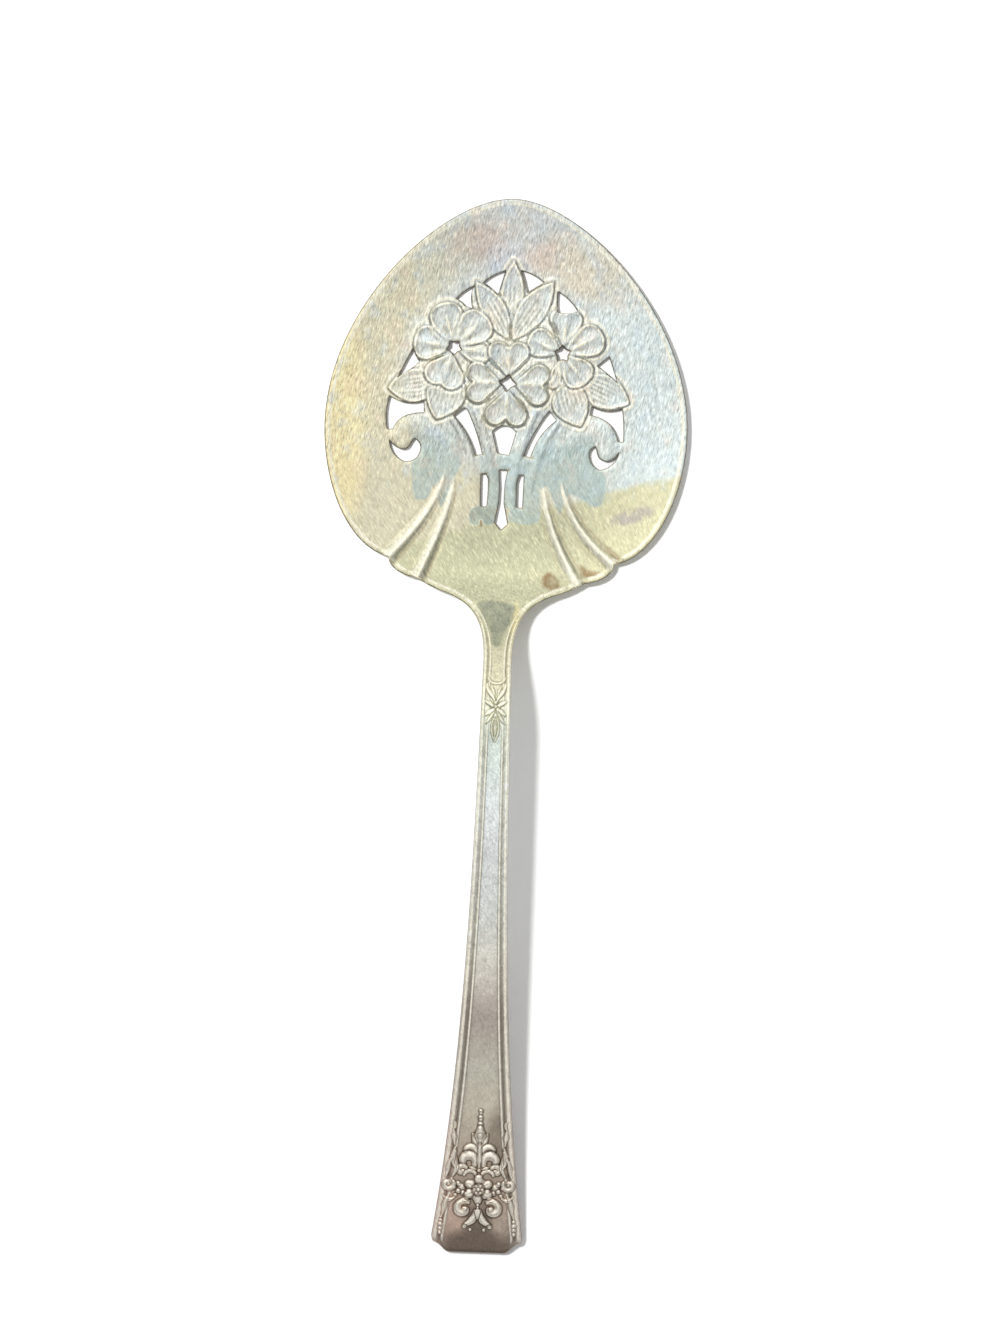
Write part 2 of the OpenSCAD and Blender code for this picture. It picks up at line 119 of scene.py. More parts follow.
class ServerColours(bpy.types.PropertyGroup):
    """Colours of the plate and its tarnish."""
    plate: FloatVectorProperty(
        name="Plate", description="Pale champagne of the yellowed silver plate",
        subtype="COLOR", size=4, default=linear("#d8d3b8"), min=0.0, max=1.0)
    # The cool plate at the right of the blade is partly a painted reflection
    cool: FloatVectorProperty(
        name="Cool plate", description="Blue-white of the cleaner silver",
        subtype="COLOR", size=4, default=linear("#d6e0dd"), min=0.0, max=1.0)
    stain: FloatVectorProperty(
        name="Stain", description="Blue-grey of the tarnish patches",
        subtype="COLOR", size=4, default=linear("#b0c2be"), min=0.0, max=1.0)
    # The brown of the grooves at the end of the handle also paints their shade
    toffee: FloatVectorProperty(
        name="Brown tarnish", description="Brown of the heavy tarnish in the hollows",
        subtype="COLOR", size=4, default=linear("#5d5046"), min=0.0, max=1.0)


class StudioSettings(bpy.types.PropertyGroup):
    """Floor and lights of the studio."""
    floor: FloatVectorProperty(
        name="Floor", description="Colour of the floor and the backdrop",
        subtype="COLOR", size=4, default=linear("#ffffff"), min=0.0, max=1.0)
    key_power: FloatProperty(
        name="Key light", description="Power of the lamp at the left, which makes the shadow", default=6.8,
        min=0.0, max=20.0, unit="POWER")


# Curves in the plan

def clamp01(v):
    return np.clip(v, 0.0, 1.0)


def ease(v):
    c = clamp01(v)
    return c * c * (3 - 2 * c)


def mix(a, b, t):
    return a * (1 - t) + b * t


def bump(v):
    """A round hump, 1 at 0 and 0 from -1 and 1 outwards."""
    return np.where(np.abs(v) < 1, 0.5 + 0.5 * np.cos(np.pi * np.clip(v, -1, 1)), 0.0)


def bezier(points, n):
    t = np.linspace(0, 1, n + 1)[:, None]
    a, b, c, d = (np.array(p, float) for p in points)
    s = 1 - t
    return s ** 3 * a + 3 * s * s * t * b + 3 * s * t * t * c + t ** 3 * d


def through(points, n):
    """A smooth line through the points, n steps to each stretch."""
    p = np.array(points, float)
    p = np.vstack([2 * p[0] - p[1], p, 2 * p[-1] - p[-2]])
    t = (np.arange(n) / n)[:, None]
    runs = [0.5 * (2 * p[i] + (p[i + 1] - p[i - 1]) * t
                   + (2 * p[i - 1] - 5 * p[i] + 4 * p[i + 1] - p[i + 2]) * t ** 2
                   + (3 * p[i] - p[i - 1] - 3 * p[i + 1] + p[i + 2]) * t ** 3)
            for i in range(1, len(p) - 2)]
    return np.vstack(runs + [p[-2:-1]])


def turned(points, degrees):
    a = math.radians(degrees)
    p = np.atleast_2d(np.array(points, float))
    return np.column_stack([p[:, 0] * math.cos(a) - p[:, 1] * math.sin(a),
                            p[:, 0] * math.sin(a) + p[:, 1] * math.cos(a)])


def spaced(line, step):
    """Points along a closed line about a step apart, with its sharp corners kept."""
    out = []
    for a, b in zip(line, np.roll(line, -1, axis=0)):
        n = max(1, int(round(np.linalg.norm(b - a) / step)))
        out.append(a + (b - a) * (np.arange(n) / n)[:, None])
    return np.vstack(out)


def evenly(line, step):
    """Points evenly along a smooth closed line."""
    p = np.vstack([line, line[:1]])
    run = np.concatenate([[0], np.cumsum(np.linalg.norm(np.diff(p, axis=0), axis=1))])
    n = max(3, int(round(run[-1] / step)))
    at = np.linspace(0, run[-1], n + 1)[:n]
    return np.column_stack([np.interp(at, run, p[:, 0]), np.interp(at, run, p[:, 1])])


def normals(along):
    """Unit vectors to the left of a line's directions."""
    return np.column_stack([-along[:, 1], along[:, 0]]) / np.linalg.norm(along, axis=1)[:, None]


def half_outline():
    """The right side of the server, from the tip of the blade to the end of the handle."""
    w, s, tip = HALF_W, SHOULDER, BLADE_TIP
    egg = [[0, tip], [0.378 * w, tip], [w, 0.522 * tip], [w, 0]]
    flank = [[w, 0], [w, -0.38 * s], [0.858 * w, -0.8 * s], [0.628 * w, -0.865 * s]]
    lobe = [[0.622 * w, -0.868 * s], [0.616 * w, -0.93 * s], [0.561 * w, -0.983 * s], [0.462 * w, -s]]
    brow = [[0.45 * w, -1.005 * s], [0.416 * w, -1.031 * s], [0.381 * w, -1.056 * s], [0.311 * w, -1.083 * s]]
    throat = [[0.311 * w, -1.083 * s], [0.154 * w, -1.149 * s], [NECK_H - 0.3, -1.25 * s],
              [NECK_H, -NECK_BACK]]
    v = np.linspace(0, 1, 110)[1:]
    handle = np.column_stack([NECK_H + (END_H - NECK_H) * (0.27 * v + 0.73 * v ** 3.2),
                              -mix(NECK_BACK, GRIP_END, v)])
    back = -HANDLE_BACK
    corner = through([[END_H, back + 3.4], [END_H - 0.15, back + 2.4], [END_H - 0.5, back + 1.95],
                      [END_H - 1.3, back + 1.6], [END_H - 2.5, back + 0.45],
                      [END_H - 2.95, back + 0.12], [END_H - 3.5, back]], 3)
    return np.vstack([bezier(egg, 84), bezier(flank, 40)[1:], bezier(lobe, 14), bezier(brow, 10),
                      bezier(throat, 36)[1:], handle, corner[1:], [[2.4, back], [0, back]]])


SIDE = half_outline()
OUTLINE = np.vstack([SIDE, (SIDE * [-1, 1])[-2:0:-1]])
OUTLINE_LOOP = spaced(OUTLINE, 0.7)


def half_width(y):
    """Half of the server's width at y, behind the blade's widest place. The cut corners don't narrow it."""
    s = SIDE[(SIDE[:, 1] <= 0) & (SIDE[:, 1] >= -GRIP_END)]
    return np.interp(-y, -s[:, 1], s[:, 0])


# Heights of the sheet

def gauge(x, y):
    return np.minimum(1.03, np.hypot(x / HALF_W, y / np.where(y > 0, BLADE_TIP, DISH_BACK)))


def dish(x, y):
    return DISH_RISE * (np.maximum(0, gauge(x, y) - DISH_FLAT) / (1 - DISH_FLAT)) ** 2


def arch(y):
    rising = ARCH_RISE * ease((-y - NECK_START) / (ARCH_BACK - NECK_START))
    falling = ARCH_RISE * (1 - ((-y - ARCH_BACK) / (HANDLE_BACK - ARCH_BACK)) ** 2)
    return np.where(-y < ARCH_BACK, rising, falling)


def under_z(x, y):
    return dish(x, y) * (1 - ease((-y - SHOULDER) / 13)) + arch(y)


def grip(y):
    """0 on the blade and 1 on the moulded handle."""
    return ease((-y - BAND_START) / BAND_RUN)


def thick(y):
    neck = ease((-y - SHOULDER) / 16)
    run = clamp01((-y - NECK_BACK) / (HANDLE_BACK - NECK_BACK))
    return SHEET_T + (mix(NECK_T, END_T, run) - SHEET_T) * neck


def face_z(x, y):
    return under_z(x, y) + thick(y)


def eased_profile(v, knots, heights):
    """A profile that eases from each knot to the next."""
    i = np.clip(np.searchsorted(knots, v) - 1, 0, len(knots) - 2)
    k, h = np.array(knots), np.array(heights)
    t = ease((v - k[i]) / (k[i + 1] - k[i]))
    return mix(h[i], h[i + 1], t)


def panel(y):
    """Half of the flat panel of the handle as a share of half of the handle."""
    run = clamp01((-y - NECK_BACK) / (GRIP_END - NECK_BACK))
    neck = 0.26 * (1 - ease((-y - 34) / 9))
    return mix(PANEL_SHARE, PANEL_END_SHARE, run ** 2) + neck


# The band beside the panel, from the panel's edge (0) to the edge of the handle (1)
BAND = [0, 0.1, 0.2, 0.28, 0.35, 0.42, 0.5, 0.62, 0.82, 0.93, 1]
BAND_LIFT = [0, 0.65, 0.75, 0.45, 0.15, 0, 0.2, 0.65, 0.85, 0.5, 0.1]
# The tone of the moulding: painted highlights on its crests, and tarnish with painted shade in its grooves and
# at the handle's edge
BAND_TONE = [0, 1.0, 0.9, 0, -0.7, -0.95, -0.3, 0.7, 0.85, 0.2, -0.8]


def nearest(x, y, line, closed=True):
    """Distance from each point to a line, how far along it from 0 to 1, and the side: 1 at the line's left."""
    a = np.array(line, float)
    b = np.roll(a, -1, axis=0) if closed else a[1:]
    if not closed:
        a = a[:-1]
    best = np.full(x.shape, np.inf)
    share = np.zeros(x.shape)
    side = np.ones(x.shape)
    for i in range(len(a)):
        d = b[i] - a[i]
        px, py = x - a[i, 0], y - a[i, 1]
        t = clamp01((px * d[0] + py * d[1]) / max(1e-12, d @ d))
        r = np.hypot(px - t * d[0], py - t * d[1])
        closer = r < best
        best = np.where(closer, r, best)
        share = np.where(closer, (i + t) / len(a), share)
        side = np.where(closer, np.where(d[0] * py - d[1] * px > 0, 1.0, -1.0), side)
    return best, share, side


def inside(x, y, line):
    """Whether each point lies inside a closed line."""
    a = np.array(line, float)
    b = np.roll(a, -1, axis=0)
    odd = np.zeros(x.shape, bool)
    for p, q in zip(a, b):
        if p[1] != q[1]:
            crosses = (p[1] > y) != (q[1] > y)
            odd ^= crosses & (x < (q[0] - p[0]) * (y - p[1]) / (q[1] - p[1]) + p[0])
    return odd


def around(x, y, line, reach):
    """The points of a field within reach of a line's box."""
    low, high = np.min(line, axis=0) - reach, np.max(line, axis=0) + reach
    return np.nonzero((x > low[0]) & (x < high[0]) & (y > low[1]) & (y < high[1]))[0]


# The bouquet

def round_petal(reach, w):
    n = 44
    a = 2 * np.pi * (np.arange(n) + 0.5) / n
    u = (1 - np.cos(a)) / 2
    return np.column_stack([reach * u, -1.33 * w * np.sin(a) * u ** 0.6])


def heart_petal(reach, w, lobe_r):
    """Two round lobes with straight sides to the middle of the flower."""
    c, h = w - lobe_r, reach - lobe_r
    first = -math.asin(c / lobe_r)
    last = math.pi / 2 + math.atan2(c, h) + math.asin(lobe_r / math.hypot(h, c))
    a = np.linspace(first, last, 23)
    arc = np.column_stack([h + lobe_r * np.cos(a), c + lobe_r * np.sin(a)])
    line = np.vstack([[[0.1 * reach, 0]], (arc * [1, -1])[:0:-1], arc])
    return spaced(line, 0.5)


def leaf_blade(reach, w, bend):
    n = 52
    a = 2 * np.pi * np.arange(n) / n
    u = (1 - np.cos(a)) / 2
    v = np.sin(np.pi * u) ** 0.8 * np.where(np.arange(n) < n / 2, -1, 1)
    return np.column_stack([reach * u, w * v + bend * np.sin(np.pi * u)])


def petal_line(at, degrees, reach, w, lobe_r):
    return np.array(at) + turned(heart_petal(reach, w, lobe_r) if lobe_r else round_petal(reach, w), degrees)


def leaf_way(base, tip):
    """Where a leaf starts, its length and its direction in degrees."""
    d = np.subtract(tip, base)
    return np.array(base), np.hypot(*d), math.degrees(math.atan2(d[1], d[0]))


# Flowers: middle, then direction, reach, half-width and radius of the lobes of each petal, from the back
MIDDLE_FLOWER = ((0, 8.8), [(181, 7.9, 4.1, 2.2), (-2, 8, 4.1, 2.2), (-91, 8.3, 4.2, 2.2), (90, 8, 4.1, 2.2)])
LEFT_FLOWER = ((-10.4, 15.2), [(-8, 7.2, 2.6, 0), (172, 7.9, 3.5, 0), (-108, 8.1, 4, 2.5), (106, 8.9, 3.4, 0),
                               (46, 8.7, 3.6, 0)])
RIGHT_FLOWER = ((10.2, 14.7), [(-105, 7.1, 1.4, 0), (156, 7.3, 3, 0), (-50, 7.4, 3.3, 0), (28, 8.7, 3.3, 0),
                               (86, 8.5, 3.3, 2)])
# Leaves from the back: base, tip, half-width, bend, height
LEAVES = [((0.2, 19), (0.4, 32.2), 2.4, 0, 0.26),
          ((-12.5, 8.8), (-22.8, 7), 3.4, 0.2, 0.26),
          ((13.2, 10), (23.4, 5.6), 3.4, 0, 0.26),
          ((0.1, 16.8), (-6.8, 28), 2.5, -0.3, 0.42),
          ((0.5, 16.8), (8.2, 28.4), 2.8, 0.2, 0.42),
          ((-10.5, 12), (-13.4, 1.2), 3.9, 0.4, 0.42),
          ((10.8, 10.5), (14.2, 0.8), 3.6, -0.6, 0.42)]
STEMS = [[(-10.2, 1.6), (-6.5, -3.5), (-5.4, -8), (-5.4, -15.5)],
         [(-5.8, 3.2), (-3.4, -2.5), (-2.1, -7), (-1.95, -16.5)],
         [(5.4, 3.2), (3.2, -2.5), (1.6, -7), (1.5, -16.5)],
         [(9.6, 1.4), (6.6, -3), (4.9, -8), (4.75, -15.5)]]
SCROLLS = [[(-10.4, -7), (-11.5, 0.5), (-20.8, 3.6), (-19.3, -4)],
           [(10.4, -7), (11.5, 0.5), (20.6, 3.8), (19, -4.8)]]
FLUTES = [[(-11, -7.5), (-12.3, -14.5), (-16.5, -19.5), (-0.632 * HALF_W, -0.885 * SHOULDER)],
          [(-9.2, -8), (-10, -16), (-13.2, -22.5), (-0.47 * HALF_W, -1.03 * SHOULDER)],
          [(7.4, -9), (7.8, -16.5), (11.2, -23.5), (0.447 * HALF_W, -1.035 * SHOULDER)],
          [(10.6, -8), (11.6, -15.5), (16, -21), (0.64 * HALF_W, -0.885 * SHOULDER)]]
# Fine creases that run from the flutes up into the scrolls
CREASES = [[(-14.2, 2), (-13.2, -1), (-11.6, -4), (-10.4, -8)],
           [(-12.2, 1), (-11.4, -1.5), (-10.4, -4), (-9.7, -8)],
           [(-10.6, 0), (-10.1, -2), (-9.5, -4.5), (-9.1, -8)],
           [(13.4, 1.2), (12.4, -1.5), (11.2, -4.5), (10.2, -8)],
           [(11.2, 0.4), (10.4, -2), (9.4, -5), (8.2, -8.5)]]

# Piercings: corners counter-clockwise, each with the outward bow of the edge to the next corner
CUTS = [
    [(-5.2, 27.8, -0.15), (-2.5, 25.5, 0), (-1.2, 30.1, 0.25)],
    [(3.1, 26.1, -0.1), (6.2, 28.1, 0.3), (1.9, 30.2, -0.15)],
    [(-10.3, 24.5, -0.2), (-8.6, 23.2, 0), (-7.2, 22.8, -0.4), (-7.1, 27, 0.2)],
    [(9, 22.6, 0.35), (12.8, 22.9, 0.35), (8.9, 26.5, 0)],
    [(-20.9, 9.2, 0), (-18.2, 11.1, 0), (-16.9, 12.3, -0.2), (-18.1, 14.8, 0)],
    [(17, 12.7, 0), (19, 11.2, 0), (20.8, 9.6, 0), (19.1, 14.5, 0)],
    [(-22.5, -0.7, 0), (-21.5, -0.6, -0.65), (-18, 2.4, -0.1), (-15.7, 2.7, 0), (-15.8, 4.9, -0.85),
     (-22.3, 5.6, 0.35)],
    [(22.3, -1.6, 0.15), (21.9, 4.7, -0.7), (16.1, 4.9, 0), (15.9, 3.3, -1.3), (21.4, -1.5, 0)],
    [(-22, -2.8, 0.75), (-19, -6.7, 0.8), (-16.1, -4.2, 0.35), (-17.3, -2.3, 0), (-17.9, -3.2, -0.35),
     (-19.6, -4.45, -0.3)],
    [(17.1, -2.6, 0.35), (16, -4.3, 0.55), (18.1, -7, 0.8), (21.6, -3.6, -0.4), (19.3, -5.4, -0.4),
     (17.5, -4.1, 0)],
    [(-10, 2.3, -0.6), (-5.6, -5.1, 0), (-4.4, -4.8, 0.25), (-7.5, 3.5, 0), (-8.2, 3.8, 0)],
    [(8.1, 3.8, 0.4), (3.6, -4.9, 0), (4.8, -5.1, -0.75), (9.5, 2.1, 0)],
    [(-1.4, -4.5, 0), (0.7, -4.8, 0), (1.9, -0.4, 1.1), (-2.5, -0.4, 0)],
    [(-4.3, -14.6, 0.15), (-3.2, -14.6, 0.1), (-3.1, -9.5, 0), (-3.5, -8.5, 0), (-4.4, -8.6, 0)],
    [(2.5, -14.6, 0.1), (3.6, -14.7, 0), (3.7, -8.6, 0), (2.9, -8.6, 0), (2.5, -10, 0)],
    [(-0.3, -19.1, 0), (0.9, -17.9, 0), (0.05, -14, 0), (0.1, -10.4, 0), (0.55, -7.7, 0), (-1, -7.7, 0),
     (-0.75, -11, 0), (-0.85, -14, 0), (-1.5, -17.7, 0)]]
# Stains: outline, strength, softness, and where each fades in from above and over what length
STAINS = [
    ([(-17.8, 2), (-17.4, -11.3), (-16.2, -13.9), (-14.3, -13.3), (-13, -10.8), (-12, -15.2), (-10.7, -13),
      (-9.4, -9.5), (-8.2, -6), (-7, 2)], 0.9, 0.5, (3, 9)),
    ([(4.6, 2), (6.6, -10.2), (8.3, -10.6), (10.7, -15.6), (11.7, -12.6), (13.4, -12), (17.2, -14), (18.9, -13),
      (19.2, -8.8), (17.7, -6.2), (15, 2)], 1.05, 0.5, (3, 9)),
    ([(-4.9, -4), (-4.4, -10), (-4.4, -14.8), (-1.8, -14.9), (1.1, -15), (1.3, -17.4), (6.8, -17.3),
      (6.7, -10.4), (6.3, -4)], 0.8, 0.4, (1, 9)),
    ([(-4.5, -14.6), (-5.9, -15.2), (-6.4, -16.8), (-5.8, -18.2), (-3.6, -18.1), (-1.8, -17.8), (-1.7, -14.6)],
     1.15, 0.3, None),
    ([(7.7, -27.9), (9, -26.7), (10.7, -27.8), (11.4, -29.6), (9.9, -30.3), (8.2, -29.6)], -0.85, 1.0, None),
    ([(8.8, -28.4), (9.9, -27.9), (10.8, -28.7), (10.1, -29.2), (9.2, -28.9)], -0.6, 0.8, None),
    ([(15, -25), (16.5, -26), (18.8, -26.5), (17.7, -27.4), (15.1, -27.4)], -0.8, 0.8, None),
    ([(19.2, -21.4), (20.2, -21.7), (22.5, -23.5), (22.1, -24.2), (20.4, -23)], -0.8, 0.7, None),
    ([(-4.4, -17.3), (-3.9, -17.3), (-3.8, -18.5), (-4.4, -18.5)], -0.9, 0.3, None),
    ([(-4.3, -33.0), (-1, -32.6), (2.6, -33.4), (2.9, -35.1), (2.1, -37), (1, -38.8), (0.4, -40.9),
      (-0.9, -41.1), (-1.6, -38.4), (-2.7, -36.2), (-3.8, -34.4)], 1.0, 0.9, None)]
# Star holes of the flowers: middle, points, radius to a point, radius between, turn
STARS = [((-10.4, 15.2), 5, 1.45, 0.95, 54), ((0, 8.8), 4, 1.65, 0.95, -8), ((10.2, 14.7), 5, 1.55, 1, 20)]


def cut_line(corners):
    out = []
    for i, (ax, ay, bow) in enumerate(corners):
        bx, by, _ = corners[(i + 1) % len(corners)]
        d = np.array([bx - ax, by - ay])
        side = np.array([d[1], -d[0]]) / np.hypot(*d)
        t = (np.arange(8) / 8)[:, None]
        out.append(np.array([ax, ay]) + t * d + 4 * bow * t * (1 - t) * side)
    return np.vstack(out)


def star_line(middle, points, far, near, turn):
    a = np.radians(turn + 180 / points * np.arange(2 * points))
    r = np.where(np.arange(2 * points) % 2 == 0, far, near)
    return np.array(middle) + np.column_stack([r * np.cos(a), r * np.sin(a)])


HOLES = [spaced(cut_line(c), 0.45) for c in CUTS] + [spaced(star_line(*s), 0.3) for s in STARS]


# Spacing of the veins of a leaf in millimetres, and the number of ribs round a flower
VEIN_GAP = 0.85
RIBS = 13


class Field:
    """Height over the face and tone of the metal at a set of plan points.

    The tone is 1 on a crest rubbed pale and given a painted highlight, 0 on plain plate, -1 in a groove of
    tarnish with painted shade and -2 on a cut edge darkened as a painted shadow. The stain is 1 in a blue-grey
    patch and -1 on a brown spot.
    """

    def __init__(self, x, y, ribs):
        self.x, self.y, self.ribs = x, y, ribs
        self.h = np.zeros(x.shape)
        self.tone = np.zeros(x.shape)
        self.stain = np.zeros(x.shape)

    def lay(self, line, level, rim, halo, inner):
        """A raised form in front of what is there: its interior, a rim, and a groove and a halo round it."""
        i = around(self.x, self.y, line, 1.0)
        x, y = self.x[i], self.y[i]
        d = nearest(x, y, line)[0]
        d = np.where(inside(x, y, line), d, -d)
        rise = ease((d + 0.2) / 0.46)
        edge = bump((d - 0.44) / 0.44)
        hollow = ease((d - 0.5) / 0.6)
        h_in, t_in = inner(x, y)
        own = level + rim * edge + hollow * h_in
        outer = bump((d + 0.52) / 0.42)
        groove = bump((d + 0.04) / 0.22)
        self.h[i] = mix(self.h[i] + halo * outer, own, rise) - 0.055 * groove
        # The tone gives the rim and the halo a painted highlight, and the groove tarnish with painted shade
        tone = mix(self.tone[i] * (1 - outer) + outer, edge + hollow * t_in, rise)
        self.tone[i] = mix(tone, -1.0, 0.8 * groove)

    def petal(self, at, degrees, reach, w, lobe_r, level, rim, halo):
        def inner(x, y):
            local = turned(np.column_stack([x - at[0], y - at[1]]), -degrees)
            along, across = local[:, 0] / reach, local[:, 1] / w
            angle = np.arctan2(local[:, 1], local[:, 0])
            cup = -0.2 * bump((along - 0.68) / 0.5) * bump((np.abs(across) - 0.45) / 0.55)
            rib = np.cos(RIBS * angle) * bump((along - 0.34) / 0.36)
            middle = 0.1 * bump(across / 0.26) * bump((along - 0.5) / 0.5)
            crest = 0.6 * bump(across / 0.16) * bump((along - 0.5) / 0.45)
            # The ribs and the middle crest of a petal get painted highlights, and the hollows between the ribs
            # painted shade
            return cup + 1.2 * self.ribs * rib + middle, 0.9 * rib + crest

        self.lay(petal_line(at, degrees, reach, w, lobe_r), level, rim, halo, inner)

    def leaf(self, base, tip, w, bend, height):
        base, reach, degrees = leaf_way(base, tip)

        def inner(x, y):
            local = turned(np.column_stack([x - base[0], y - base[1]]), -degrees)
            u = np.clip(local[:, 0] / reach, 0.02, 0.98)
            v = (local[:, 1] - bend * np.sin(np.pi * u)) / (w * np.sin(np.pi * u) ** 0.5)
            wave = np.cos(2 * np.pi * w / VEIN_GAP * v) * (1 - ease((u - 0.42) / 0.45))
            wave = wave * (1 - ease((np.abs(v) - 0.85) / 0.15))
            fold = -0.09 * bump(v / 0.35) * ease((u - 0.3) / 0.3)
            # The veins get painted highlights on their crests and painted shade between them
            return 0.75 * self.ribs * wave + fold - 0.04, 0.9 * wave

        self.lay(base + turned(leaf_blade(reach, w, bend), degrees), height - 0.1, 0.14, 0.1, inner)

    def ridge(self, curve, widths, heights, tone, power=0.8):
        """A rounded ridge along a curve, with its half-width and height at the start, middle and end."""
        line = bezier(curve, 28)
        i = around(self.x, self.y, line, 2.2 * max(widths))
        d, t, _ = nearest(self.x[i], self.y[i], line, closed=False)
        w = np.interp(t, [0, 0.5, 1], widths)
        h = np.interp(t, [0, 0.5, 1], heights)
        s = d / w
        top = h * np.maximum(0, 1 - s * s) ** power
        self.h[i] = np.maximum(self.h[i], top)
        # A painted highlight along the top of the ridge
        self.tone[i] = np.clip(self.tone[i] + tone * bump(s / 0.8), -1, 1)

    def flute(self, curve):
        """A flute that widens to the shoulder. One side falls slowly, and one steeply to a crease."""
        line = bezier(curve, 34)
        i = around(self.x, self.y, line, 3.2)
        d, t, side = nearest(self.x[i], self.y[i], line, closed=False)
        w = np.interp(t, [0, 0.25, 0.6, 1], [0.4, 0.95, 1.4, 1.8])
        h = np.interp(t, [0, 0.25, 0.6, 1], [0.02, 0.24, 0.5, 0.66])
        s = d / w * side
        fall = np.where(s > 0, ease(1 - s / 0.75), ease(1 + s / 1.15) ** 1.2)
        hollow = 0.16 * bump((s - 0.92) / 0.3) + 0.05 * bump((s + 1.45) / 0.25)
        self.h[i] = np.maximum(self.h[i], h * fall) - h * hollow
        shown = ease(t / 0.2)
        # Painted highlight over the flute's slow side, painted shade in the crease at its steep side and a
        # faint painted shade line beyond the slow side
        tone = 1.25 * bump((s + 0.16) / 0.85) - 1.0 * bump((s - 0.88) / 0.36) - 0.5 * bump((s + 1.25) / 0.4)
        self.tone[i] = np.clip(self.tone[i] + shown * tone, -1, 1)

    def carve(self, line, w, h, vein=0.0, widths=(0.5, 1, 0.25)):
        """A small carved form along a line: round topped with a painted highlight, with tarnish and painted
        shade beside it.
        """
        line = np.array(line, float)
        i = around(self.x, self.y, line, w + 1.0)
        d, t, _ = nearest(self.x[i], self.y[i], line, closed=False)
        wide = w * np.interp(t, [0, 0.15, 0.5, 0.85, 1], [0.8 * widths[0], widths[0], widths[1], widths[2],
                                                         0.75 * widths[2]])
        s = d / np.maximum(wide, 0.12)
        self.rise_to(i, s, h, vein * bump(d / 0.28))

    def rise_to(self, i, s, h, less=0.0):
        """A round top over the share s of its half-width with a painted highlight, and tarnish with painted
        shade in the hollow beside it.
        """
        top = h * np.maximum(0, 1 - s * s) ** 0.8 - less
        over = top - self.h[i]
        shown = ease(0.5 + over / 0.1) * ease((1 - s) / 0.14)
        blended = 0.5 * (self.h[i] + top + np.hypot(over, 0.03))
        self.h[i] = mix(self.h[i], blended, ease((1 - s) / 0.1))
        # Tarnish and painted shade beside the form, and a painted highlight over its top
        tone = mix(self.tone[i], -0.9, 0.85 * bump((s - 1.08) / 0.36))
        self.tone[i] = mix(tone, mix(-0.6, 1.0, ease(1.4 * top / h)), shown)

    def bead(self, at, r, h):
        i = around(self.x, self.y, np.array([at]), r + 0.8)
        self.rise_to(i, np.hypot(self.x[i] - at[0], self.y[i] - at[1]) / r, h)

    def patch(self, corners, strength, soft, fade):
        """A stain with a soft outline, which may fade in from a height down."""
        line = through(corners + corners[:1], 5)[:-1]
        i = around(self.x, self.y, line, 1.0)
        d = nearest(self.x[i], self.y[i], line)[0]
        d = np.where(inside(self.x[i], self.y[i], line), d, -d)
        cover = ease(0.5 + d / soft)
        if fade:
            cover = cover * ease((fade[0] - self.y[i]) / fade[1])
        self.stain[i] = mix(self.stain[i], strength, cover)


def bouquet(f):
    for s in STEMS:
        f.ridge(s, (0.75, 0.75, 0.45), (0.3, 0.3, 0.05), tone=0.1)
    for s in SCROLLS:
        f.ridge(s, (0.5, 2.4, 1.6), (0.05, 0.3, 0.3), tone=0.05, power=1.0)
    for c in CREASES:
        f.ridge(c, (0.22, 0.28, 0.2), (0.04, 0.09, 0.05), tone=0.35)
    for leaf in LEAVES:
        f.leaf(*leaf)
    for at, petals in (LEFT_FLOWER, RIGHT_FLOWER):
        for p in petals:
            f.petal(at, *p, 0.48, 0.13, 0.09)
    for p in MIDDLE_FLOWER[1]:
        f.petal(MIDDLE_FLOWER[0], *p, 0.66, 0.15, 0.12)
    for at, _, far, _, _ in STARS:
        r = np.hypot(f.x - at[0], f.y - at[1])
        near = 1 - ease((r - far) / 2.2)
        f.h = np.where(r < far + 2.2, mix(f.h, 0.52 if at[0] else 0.68, 0.55 * near), f.h)
        f.tone *= 1 - 0.6 * near


def flutes(f):
    for curve in FLUTES:
        f.flute(curve)


def stains(f):
    """Patches with sharp lower borders, where a wet cloth dried, one patch on the neck, and brown spots."""
    for corners, strength, soft, fade in STAINS:
        f.patch(corners, strength, soft, fade)


# Carved forms in the order they are cut, measured from the middle of their flower. A form is its half-width,
# its height, the depth of its vein, the shares of its half-width at its start, middle and end, and its line:
# points, or the four points of a curve and its steps, or for a spiral its middle, radius, first and last angle
# and how far it winds in. A bead is its radius, height and middle.
THIN = (0.5, 1, 0.25)
NECK_SIDE = [
    (0.52, 0.38, 0.06, (0.6, 1, 0.6), [(0.2, 0.9), (0.4, 2.2), (1.6, 2.5), (1.75, 4.2)], 12),
    (0.36, 0.3, 0, (0.7, 1, 0.7), [(0.3, 2.2), (0.45, 3), (0.8, 3.2), (0.85, 3.9)], 8),
    (0.55, 0.38, 0.05, (0.6, 1, 0.7), [(0.3, 0.2), (1.85, 0.95)]),
    (0.55, 0.38, 0.05, (0.6, 1, 0.7), [(0.3, -0.3), (1.75, -1.5)]),
    (0.4, 0.32, 0, (0.7, 1, 0.6), [(0.3, -1.1), (1.1, -2.0), (1.1, -2.5), (1.75, -3.1)], 8),
    (0.26, 0.32, 0, (0.8, 1, 0.8), [(0.1, -1.8), (0.9, -3.2), (0.9, -4.6), (0.02, -6.5)], 14)]
